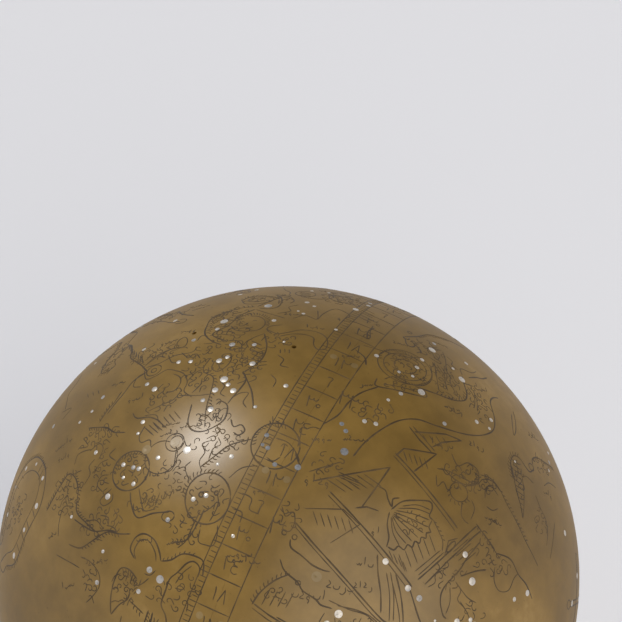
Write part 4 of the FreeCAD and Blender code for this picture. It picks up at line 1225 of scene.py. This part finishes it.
    "dragon": ((285, 56, 40), """
        C -15,1 -12,3.6 -8,7.4 -3,8.2 2.4,6 6,0 4,-6.6 -3,-9.6 -9,-11.6 -14,-9
        c -14,-0.6 -11,2 -7.6,5 -3.4,5.6 1,3.6 3.8,-0.4 2.2,-4.6 -3,-7 -8.6,-8.6 -13,-6.8
        h -11.4,3.2 -10.2,1.6 2.2,1.1 4
        h 4.6,2.8 2.8,1.4 0.5,-1.7 3
        h 1.4,-8 1,-5.8 -2.6,-0.9 5
        C -15,1 -17.4,1.6 -18.4,-0.4 -16.4,-1.6 -14,-0.6
        o -16,0.3 0.4,0.4
        C -14,-9 -17,-8.4 -18.6,-5.4 -15.4,-6 -13,-6.8
        f 0.8,0.8 -15,1 -12,3.6 -8,7.4 -3,8.2 2.4,6 6,0
        f 0.8,0.9 -3,-9.6 -9,-11.6 -14,-9
        n -8,-1.4 1.2,5
        n 9,3 1.2,5
        n -20,6 1.1,4
        s -7,-2 6,3 12,1.1
    """),
}
for name, (placing, drawing) in figure_drawings.items():
    engraving("figure_" + name, laid(drawing, placing))

# ---------------------------------------------------------------------------------------
# The figures round the far side and the two poles, in the same manner. They are simple
# designs made for this part, each fitted to its own stars.
far_drawings = {
    "little_bear": ((0, 74, 0), """
        C 9,-0.5 11,1 14,1.2 16.5,-0.5 16.8,-3.5 15,-6 11,-7 8.6,-5.5 8.2,-2.5 9,-0.5
        C 9,-0.5 6,3.2 3,4 0,1.2 -0.8,-0.4
        c 8.3,-1.6 6,1 3.6,1.8 0,-0.8
        C 16.6,-1.5 19,-2 20.2,-4 18.6,-5.4 16.2,-5
        c 17.4,-1.6 17.8,-0.6 18.6,-1.6
        o 18.4,-3 0.3,0.3
        C 9.4,-6 8.6,-9 9.8,-10.4 11,-9.6 10.6,-7
        C 13.8,-6.4 13.6,-9.4 15,-10.6 16,-9.4 15.2,-6
        f -0.8,0.8 9,-0.5 11,1 14,1.2 16.5,-0.5
        f 0.8,0.9 10,-1.4 12,-0.4 15,-1
        n -2,-6 1.2,5
        n 4,8 1.2,5
        s 12.4,-2.8 3.6,2.6 18,0.9
    """),
    "ram": ((24, 10, 10), """
        C -8.6,3.6 -9.2,5.4 -7.6,7.2 -5.2,7.4 -3,5.6 0,5 4,4.8 8,3.6 10.4,1 10.2,-2
        C 10.2,-2 9.4,-1 8,-1.6 5,-1.8 1,-1.4 -2.4,-0.6 -4,1 -5.4,3 -7,2.6 -8.6,3.6
        C -6,7.4 -4.4,9.8 -1.8,9.4 -1.6,7.2 -3.4,6.6 -4,7.8
        c -2.6,-0.6 -3.6,-3 -3.2,-4.4
        c -1.4,-1 -2,-3 -1.8,-4.2
        c 6.6,-1.8 6,-3.4 6.4,-4.4
        c 8.2,-1.6 8.2,-3 8.6,-4.4
        c 10.4,1 12,1.6 12.6,0 11.4,-1
        f -0.8,1.0 -3,5.2 0,4.4 4,4.2 8,3
        f -0.8,1.0 -3,3 1,2.4 6,1.8 9.4,0.6
        f -0.8,1.0 -2,1 2,0.4 6,0 9,-0.4
        o -7.4,5.6 0.3,0.3
        n 1,8.4 1.2,5
        s 3,1.6 5.6,1.8 16,1.0
    """),
    "bull": ((58, -9, 5), """
        C -6.4,1 -6.2,3.2 -4,4 -1.6,3.4 0.6,4.6 4,5.4 8,5.2 11,3.6 11.6,0.4 11,-3
        C -5.4,3.6 -7.6,4.8 -9.4,4.4 -9.8,2.6
        C -3.8,4 -5,5.6 -7,5.6
        C -6.4,1 -5.8,-0.6 -4.4,-1.4 -2.6,-1 -1.4,0
        C -2.4,-1 -3,-3.4 -6,-5 -9,-4.6
        C -1.6,-2.6 -4,-5.8 -6.8,-7 -9.4,-6
        C 0,-3 2.6,-4.4 6,-4 9,-3.6
        C 2,-4.2 2.8,-6.6 4.4,-7.6 5,-6 3.8,-4.2
        C 9,-3.6 8.6,-6 10,-7.8 11.4,-7.2 11,-3
        o -3.9,2 0.35,0.3
        c -5.8,1.2 -5.2,1.4 -4.8,1
        c 11.6,0.4 13.4,1.4 13.8,-1.2 12.8,-2.6
        h 1.4,3.2 2.4,0.6 1.6,0.1 5
        f -0.8,0.8 -1.6,3.4 0.6,4.6 4,5.4 8,5.2
        n -4,-10.5 1.3,5
        s 5,0.2 5,3.6 26,1.0
    """),
    "wagoner": ((88, 22, -5), """
        O 0.4,9.4 1.7,1.9
        c -0.4,9.8 -0.1,10.1 0.2,9.8
        c 0.7,9.8 1,10.1 1.3,9.8
        c 0.4,9.6 0.3,9.1 0.6,9
        c 0.1,8.5 0.5,8.3 0.9,8.5
        c -1.2,10.4 0.4,12.6 2,10.4
        C -1,7.6 -3.2,7.2 -4.2,4.6 -4.4,1.4 -3.4,-2
        C 1.8,7.6 4.2,7 5.2,4.2 5.4,1 4.6,-2
        C -3.4,-2 -4.6,-5 -2,-6 1,-5.4 4,-6.2 5.6,-4.8 4.6,-2
        C -1.6,-5.8 -2,-8.6 -2.8,-10 -1,-10.4 -0.6,-8 -0.2,-5.6
        C 2.6,-5.8 2.4,-8.4 1.8,-10.2 3.8,-10.4 3.8,-8 4.2,-6
        C -4.2,4.6 -7,3.8 -8.6,5.4 -8,7
        c -8.6,2 -9.4,3.8 -7.8,4.6 -6,3.4 -5.4,1.6 -7,0.8 -8.6,2
        C 5.2,4.2 8,3 9.6,4.8
        c 9.6,4.8 12,7.6 11,10.6 8.6,10 9.4,8.2
        l -4,1 5.2,0.8
        l -4,0.3 5.1,0.1
        h -2.4,0 -2.8,-5 1.5,0 5
        f 0.7,0.7 -1.4,6.4 0.4,5.2 2.2,6.4
        n 7,-8 1.3,5
        n -14,9 1.3,4
        s 0.4,2.8 3.4,3.4 18,0.9
        s 0.8,-3.6 3.6,1.6 10,0.9
    """),
    "rearing_horse": ((128, 32, 15), """
        C -8.6,-5.4 -9.4,0 -8,6 -3,8 2,7.8 6,8.8 9.6,10.4 13,12.6 16.4,11.8
        C 16.4,11.8 19.4,8.4 18.6,6.4 16,7.2 13.4,8
        C 13.4,8 11,5.6 8.2,2.6 7,-1 6,-4.4
        C 6,-4.4 1,-6.4 -4,-6.6 -8.6,-5.4
        C 8,2.4 11.4,2 14,3.6 15.4,1.8
        c 8.6,1.2 11.6,0.6 14.2,1.8 15.4,1.8
        C 7,-1 10.6,-2.6 12,-5.6 10.6,-7.6 9.6,-9.6
        C -1,6 -5,10 -10.4,12 -12,9.4 -8,5 -4,2
        f -1.6,1.0 -1.6,5.2 -5.6,8.2 -10,9.6
        f -1.4,1.0 -3,3 -6,5.6 -9.6,7.6
        f 1.1,0.7 4,8.2 8,9.8 12,12
        o 15.4,10 0.35,0.35
        c 13.2,12.6 13.4,14.4 14.6,12.4
        c 17.6,7.4 18.2,7.6 18.4,7.2
        h -6,-1 -5,-3.4 2,0.2 5
        n -2,-9.6 1.3,6
        n 4,14.4 1.2,5
        s -0.6,0.4 6,4.6 30,1.1
        s 12.4,9.6 3,1.8 8,0.9
    """),
    "fishes": ((115, -3, -10), """
        C -13.6,4.4 -11,7 -7.6,6.2 -4.8,2.8 -8,1.8 -11.6,2.6 -13.6,4.4
        C -4.8,2.8 -3,4.4 -3.2,1.6 -4.8,2.8
        o -11.8,4.6 0.25,0.25
        C 8,1.6 10.4,4.4 13.6,3.8 16,0.6 13.4,-2.4 10,-2.2 8,1.6
        C 16,0.6 17.6,2.2 17.8,-0.8 16,0.6
        o 9.6,1.4 0.25,0.25
        c -4,2.6 -2,-1.4 0,-2.8 3,-1.4 5,1 8,1.6
        f -0.7,0.8 -10.4,5.4 -8,5 -6,3.6
        f -0.7,0.8 10.6,2.8 12.6,2.4 14.6,1
        n -8,-9 1.2,5
    """),
    "sea_goat": ((152, -8, 8), """
        C -10,0.6 -10,3 -8.4,4.6 -6.4,4.2 -4.8,2.6 -2,3.2 2,2.8 6,1.4 9.4,1.4 12,4.4 \
            13.8,3.6 12.4,1.4
        C 12.4,1.4 13.4,-1 11.4,-1.6 9.8,-0.4 6,-2.6 2,-4.2 -2,-3.4 -4.6,-1.2 -7,0.4 -10,0.6
        C -7.6,4.6 -6.4,7.4 -4,8
        c -7,4.4 -5.6,6.4 -3.6,6.6
        C -4.6,-1.4 -6.4,-4 -4.4,-6
        C -2.8,-3.2 -4,-5 -2.6,-6.6
        c -9.8,0.6 -10.4,-0.8 -9.4,-1
        o -8.4,3.1 0.28,0.28
        f -0.7,0.8 0,2.2 4,1.4 8,0.8
        f -0.7,0.8 0,0.4 4,-0.4 8,-0.6
        f -0.7,0.8 0,-1.4 3,-2 6,-1.8
        n 1,-8 1.3,5
        s 4,-1 6,1.4 10,0.8
    """),
    "swan": ((172, 48, -30), """
        C 1.4,-10.6 2,-8 1.6,-4.6 2.2,-1 3,2 2.4,6 0.8,8.6
        C 0,-10.6 -0.4,-8 -0.4,-4.6 -1.4,-1 -2.6,2 -2,6 -0.6,8.6
        C 1.4,-10.6 0.9,-12.6 -0.2,-12.2 0,-10.6
        o 0.6,-11 0.2,0.2
        C -0.6,8.6 -2.2,12 0,13 2.2,12 0.8,8.6
        C -2.4,2.6 -6,5.4 -10,4 -13,0.4 -9,-0.4 -5,0 -1.6,-1
        C 2.8,3 6.4,6.8 10,5 13,1 9,0.4 5.4,1 2.2,-0.8
        f 1.4,0.9 -3.4,3 -7,3.4 -11,1.6
        f -1.4,0.9 3.8,3.6 7,4.6 11,2.6
        f 0.8,0.9 0,6 0.4,2 0.4,-3
        h -1,9.4 -1.4,12 0.7,0.1 4
        n 6,-8 1.3,4
        n -12,8 1.3,4
        s 0.2,3 1.8,4.6 14,0.9
    """),
    "archer": ((190, -10, 5), """
        C -1.6,0 -1.2,3 -0.2,5
        C 1.8,0.6 2,3 1.2,5
        O 0.4,6.6 1.3,1.5
        c -0.3,6.9 -0.1,7.1 0.2,6.9
        c 0.6,6.9 0.8,7.1 1.1,6.9
        c 0.1,5.9 0.4,5.7 0.8,5.9
        C -0.4,4.6 -3,4.4 -6,3.2
        C 1.2,4.6 3,3.4 0.4,2.8 -1.2,3.4
        C -5.4,7 -8.4,4.4 -8.4,0.4 -6,-2.4
        l -5.4,7 -1.2,3.4 -6,-2.4
        L -10.6,3.8 -1,3.1
        C -1.6,0 -3,-2 -2.6,-4 1,-4.4 5,-3.4 9,-3.8 10.4,-1.4 9,1 5,1.6 1.8,0.6
        C -2.6,-3.8 -4.6,-6 -3.4,-8.6
        c -1.2,-4.4 -2.6,-7 -1.6,-9
        C 7.4,-3.8 8,-6.4 7.4,-8.8
        c 9.4,-3.6 10,-6 9.6,-8.6
        C 10.4,-1.4 13,-0.4 13.6,-4 12,-7
        f 0.7,0.9 -1,-0.6 3,-0.2 8,-0.6
        n -9,-10 1.3,4
        s 4,-1.4 5,1.6 14,0.9
    """),
    "scorpion": ((226, -8, -5), """
        C -5.6,4 -3,5 0,4 2.4,1.6 2.6,-1.2 0.6,-1.6 -2,-0.6 -4.6,1 -5.6,4
        C -5.2,4.4 -6,6.6 -7.6,8.4 -9,7.4 -7.6,6.2
        C -5.4,2 -7.6,3.4 -9.8,3.4 -10.2,1.8 -8.6,1.6
        c -4.4,0.8 -6,-1.4 -8,-3
        O 3.6,-2.8 1.2,1.0
        O 5.4,-4.6 1.1,0.9
        O 7.4,-6.2 1.1,0.9
        O 9.8,-6.8 1.1,0.9
        O 12,-5.8 1.0,0.9
        C 12.8,-4.8 13.8,-3 12.6,-1.2 11.4,-1.8
        h -2,4.6 -2.8,6.6 1.5,-0.7 3
        h -2.6,-0.4 -4.2,-3 1.7,-0.4 3
        h -3.6,3.6 -2.4,0.6 1.1,-0.2 4
        n -4,-7 1.3,4
        s -1.6,1.8 2.6,2 9,0.8
    """),
    "serpent_bearer": ((222, 34, 0), """
        O 0,10.6 1.6,1.8
        c -0.8,11 -0.5,11.3 -0.2,11
        c 0.3,11 0.6,11.3 0.9,11
        c -0.4,9.7 0,9.5 0.5,9.7
        f -0.8,0.5 1.6,10.6 1,12.2 -0.4,12.5 -1.5,11.2
        C -1.4,9 -4.6,7.6 -6.4,5.4 -9,3 -11,1.4
        C 1.4,9 4.8,7.8 6.6,5.8 9,3.6 11.6,2.4
        C -3.8,5.6 -3.4,2 -3.8,-1
        C 3.8,5.6 3.4,2 4,-1
        C -3.8,-1 -5,-4 -4.6,-8 -5.4,-10 -3.4,-10.4 -2.6,-7 -1.4,-3.4 0,-2.6
        C 0,-2.6 1.6,-3.4 3.4,-7 4.2,-10.4 6.2,-10 5.2,-8 5.4,-4 4,-1
        C -17,7.4 -15.4,5 -13,1 -10,-0.6 -6,0 -2,1 2,0.4 6,-0.4 10,0.4 13.4,3 15.8,6.8
        c -16,8 -14.6,5.8 -12.6,2.2 -10,0.6 -6,1.2 -2,2.2 2,1.6 6,0.8 10,1.6 12.6,3.8 14.8,7.4
        c -17,7.4 -18.6,8.2 -17.8,9.6 -16,8
        h -9,1 -8.8,-0.1 1.9,0.05 10
        h -2.4,-1.4 -3,-3 1.2,0 5
        n -6,-13.4 1.3,6
        n 8,10 1.2,4
        s 0,3.4 3.2,4 20,0.9
    """),
    "altar": ((205, -46, 0), """
        L -5.4,5 5.4,5 4.2,3.4 -4.2,3.4 -5.4,5
        L -3,3.4 -3.4,-2
        L 3,3.4 3.4,-2
        L -3.4,-2 -6,-4.2 6.4,-4.2 3.4,-2
        l -3.4,-2 3.4,-2
        C -3,5 -2.4,7.4 -1.2,6 0,9.6 1,6.4 2.4,8 3,5
        c -1.4,5 -0.6,7 0.4,5.6 1.4,5
        o 0,0.6 1.2,1.6
        h -2.6,-2.4 -3.6,-4 1.6,0 4
        h -4.2,4.9 -3.6,3.5 1.1,0 8
        n -3,-7 1.2,4
    """),
    "river": ((95, -45, 0), """
        C -14,9.8 -11,6.4 -8,6 -5,8.6 -2,7 0,5 3,6.4 6,8.4 10,6 11.4,2.8 9,-0.6 5,-2 0,-3.6 \
            -5,-6.6 -12,-10.6
        C -13,11.4 -10,8.4 -7.6,7.8 -5,10.4 -1.6,8.8 0.4,6.8 3,8.2 6.4,10.2 11,7.6 13,2.8 10,-2.2
        C 10,-2.2 5,-3.8 0,-5.4 -5,-8.4 -11.4,-12.4
        f 0.7,1.3 -12,8.4 -9,7 -6,8 -4,8.6 -1,6.6 2,6.8 5,8.6 9,7.6 12,3
        f 0.7,1.3 10.6,-0.8 6,-2.6 0,-4.2 -5,-7.2 -11,-11
        n -4,1 1.3,4
        n 2,-10 1.3,4
    """),
    "sea_monster": ((45, -40, 20), """
        C -10.6,4 -10.6,7 -8,8 -5.4,6.4 -3,5 1,3.4 5,0.6 8.6,-0.6 11,1 12,4.2 14.4,5.6 14,2.8 13,0
        C 13,0 12.4,-3 9,-4 5,-4.4 1,-4.6 -2.6,-3.8 -5,-1 -7,1 -10,1.8 -10.6,4
        c -10.6,4 -8.4,4.4 -7,3.2
        h -10,4 -9.8,3.3 0.8,0.05 4
        C -2.6,-3.8 -4.6,-6 -3.4,-7.6 -2.2,-6.4
        C 0,-4.6 -1,-7 0.4,-8.2 1.4,-6.8
        o -8.4,6.2 0.35,0.35
        f -0.8,0.9 -5,4.6 -1,2.8 3,0.8 7,-1.4
        f -0.8,0.9 -5,2.6 -1,0.8 3,-1 7,-2.8
        f 1.5,0.9 -3,5 1,3.4 5,0.6 8.6,-0.6
        n 2,7 1.3,5
        n -6,-11 1.3,5
        s 0,0 6.4,2.4 20,1.0
    """),
    "southern_fish": ((155, -42, -15), """
        C 9,-1 7,1.6 3,3 -2,3.2 -6.6,1.2 -9.4,3.4 -9.6,-2.4 -6.6,-0.6 -2.4,-3.8 3,-4.2 7,-3 9,-1
        C 5.6,1.4 4.8,-1 5.6,-3.2
        o 7,-0.2 0.3,0.3
        c 1,3.2 -1,5.4 -3.4,4.8 -2.6,3.2
        f -0.7,0.8 -5,1.6 0,2 4,1.6
        f -0.7,0.8 -5,0.2 0,0.4 4,0.2
        f -0.7,0.8 -4,-1.4 0,-1.6 4,-1.6
        n -4,-7.4 1.2,5
    """),
    "centaur": ((258, -48, 10), """
        C -1.6,2 -2.4,5 -2,7.4
        C 2.6,2 3,5 2.8,7.4
        O 0.6,9.6 1.6,1.8
        c -0.2,10 0.1,10.3 0.4,10
        c 0.9,10 1.2,10.3 1.5,10
        c 0.2,8.7 0.6,8.5 1.1,8.7
        f -0.8,0.5 2.2,9.6 1.6,11.2 0.2,11.5 -0.9,10.2
        C -2,7 -5,6 -7.6,4 -9.6,5
        C 2.8,7.2 5,8.6 8,7
        L 6,11.6 9.6,2.6
        C -1.6,2 -3.4,0 -3.4,-2.6
        C 2.6,2 6,1.4 9.6,0.4 10.6,-2.4 9.6,-4.4
        c -3.4,-2.6 0,-3.6 5,-3 9.6,-4.4
        C -3.4,-2.6 -5.6,-5 -6.6,-8
        C -1.8,-3.2 -2.6,-5.4 -2,-8.4
        C 8,-4 8.6,-7 9.4,-9.4
        c 10,-4 10.8,-6.6 11,-9
        C 10.4,-1 13,-0.6 13.6,-4 12.4,-6.4
        f 0.7,0.9 -1,1 3,0.4 8,-0.4
        n 3,-12 1.2,5
        s 3,-0.8 5.4,1.4 14,0.9
        s 0.5,4.6 1.8,2 7,0.8
    """),
    "cross_of_oars": ((20, -72, 0), """
        L -0.4,8 -0.4,-7
        L 0.4,8 0.4,-7
        L -6,-0.2 6,1.0
        L -6,0.8 6,2.0
        o 0,9.2 0.9,1.2
        o 0,-8.2 0.9,1.2
        o -7,0.2 1.2,0.9
        o 7,1.6 1.2,0.9
        n 4,-9 1.2,5
    """),
}
for name, (placing, drawing) in far_drawings.items():
    engraving("figure_" + name, laid(drawing, placing))

# ---------------------------------------------------------------------------------------
# Names and the maker's cartouche, cut between the figures on the far side. The letters are
# made up and say nothing.
name_rows = """
    n -5.4,0.8 1.9,6
    n -3.8,-2.6 1.4,5
"""
name_places = (
    (52, 37), (113, 65), (173, 17), (76, 52), (202, 13), (26, 40), (128, -27), (88, -15),
    (55, 17), (24, -13), (153, 13), (234, 12), (192, 77), (266, -76), (121, -62),
)
for number, (longitude, latitude) in enumerate(name_places, 1):
    engraving(f"name_{number}", laid(name_rows, (longitude, latitude, 0)))
cartouche = """
    L -10,4.6 10,4.6
    L -10,-4.8 10,-4.8
    C 10,4.6 12.4,3.2 11.2,0 12.4,-3.2 10,-4.8
    C -10,4.6 -12.4,3.2 -11.2,0 -12.4,-3.2 -10,-4.8
    l -9.6,4.1 9.6,4.1
    l -9.6,-4.3 9.6,-4.3
    c 9.6,4.1 11.6,2.8 10.5,0 11.6,-2.8 9.6,-4.3
    c -9.6,4.1 -11.6,2.8 -10.5,0 -11.6,-2.8 -9.6,-4.3
    n -8.6,1.9 1.5,13
    n -8.6,-0.7 1.5,13
    n -8.6,-3.3 1.5,13
"""
engraving("makers_cartouche", laid(cartouche, (169, -71, 0)))

# ---------------------------------------------------------------------------------------
# Star studs: silver wire in five gauges, driven into drilled seats and dressed to a low
# crown. Most are bright from handling. Those by the band's middle have gone grey.
silver, shader, place = new_material("star_silver")
grey_middle = sky(np.array(318.0), np.array(-1.0)) * globe_radius
apart = place.node("ShaderNodeVectorMath", {"operation": "DISTANCE"},
                   {0: place, 1: grey_middle.tolist()}, output="Value")
near_band = 1 - apart.clipped(13 * mm, 19 * mm)
chance = noise(place, 75.0, 1.0).clipped(0.58, 0.66)
tarnish = near_band.maths("MAXIMUM", near_band, chance * 0.6)
grime = noise(place, 1500.0, 3.0, 0.6).clipped(0.45, 0.75)
bright = grime.mixed((0.66, 0.61, 0.55, 1.0), (0.42, 0.38, 0.33, 1.0))
dull = grime.mixed((0.22, 0.22, 0.23, 1.0), (0.13, 0.125, 0.12, 1.0))
feed(shader, "Base Color", tarnish.mixed(bright, dull))
feed(shader, "Roughness", 0.42 + tarnish * 0.18 + grime * 0.1)
feed(shader, "Metallic", 0.55 - tarnish * 0.25)
raise_by(shader, grime, 0.15, 0.02 * mm)
clad([node for name, node in nodes.items() if name.endswith("_studs")], silver)

# ---------------------------------------------------------------------------------------
# Rivets, vent plugs and the lap ring: brass wire and cast strip, filed flush with the skin
# outside and left rough inside.
filed_brass = aged_brass("filed_brass", (0.190, 0.125, 0.045), (0.330, 0.225, 0.090),
                         (0.450, 0.330, 0.160), 0.44, 0.8)
clad([nodes[name] for name in ("north_seam_rivets", "south_seam_rivets", "north_vent_plugs",
                               "south_vent_plugs", "seam_ring")], filed_brass)

# ---------------------------------------------------------------------------------------
# Bushes and collars: turned from brass bar. The bushes are soldered into the shells and
# the collars are pinned to the axle just outside them.
turned_brass = aged_brass("turned_brass", (0.230, 0.150, 0.052), (0.420, 0.290, 0.115),
                          (0.560, 0.420, 0.210), 0.33, 1.0)
clad([nodes[name] for name in ("north_bush", "south_bush", "north_collar", "south_collar")],
     turned_brass)

# ---------------------------------------------------------------------------------------
# Axle and taper pins: filed and browned steel. The axle's two ends are the pivots that a
# meridian ring or a cradle would hold.
steel, shader, place = new_material("browned_steel")
rust = noise(place, 260.0, 5.0, 0.6).clipped(0.46, 0.70)
turning = place.node("ShaderNodeMapping", {}, {"Vector": place, "Scale": (30.0, 1.0, 1.0)})
lathe_marks = noise(turning, 260.0, 2.0)
feed(shader, "Base Color", rust.mixed((0.30, 0.285, 0.27, 1.0), (0.13, 0.085, 0.055, 1.0)))
feed(shader, "Roughness", 0.34 + rust * 0.3 + lathe_marks * 0.08)
feed(shader, "Metallic", 0.95 - rust * 0.55)
raise_by(shader, lathe_marks + rust * 0.6, 0.25, 0.05 * mm)
clad([nodes[name] for name in ("axle_rod", "north_taper_pin", "south_taper_pin")], steel)
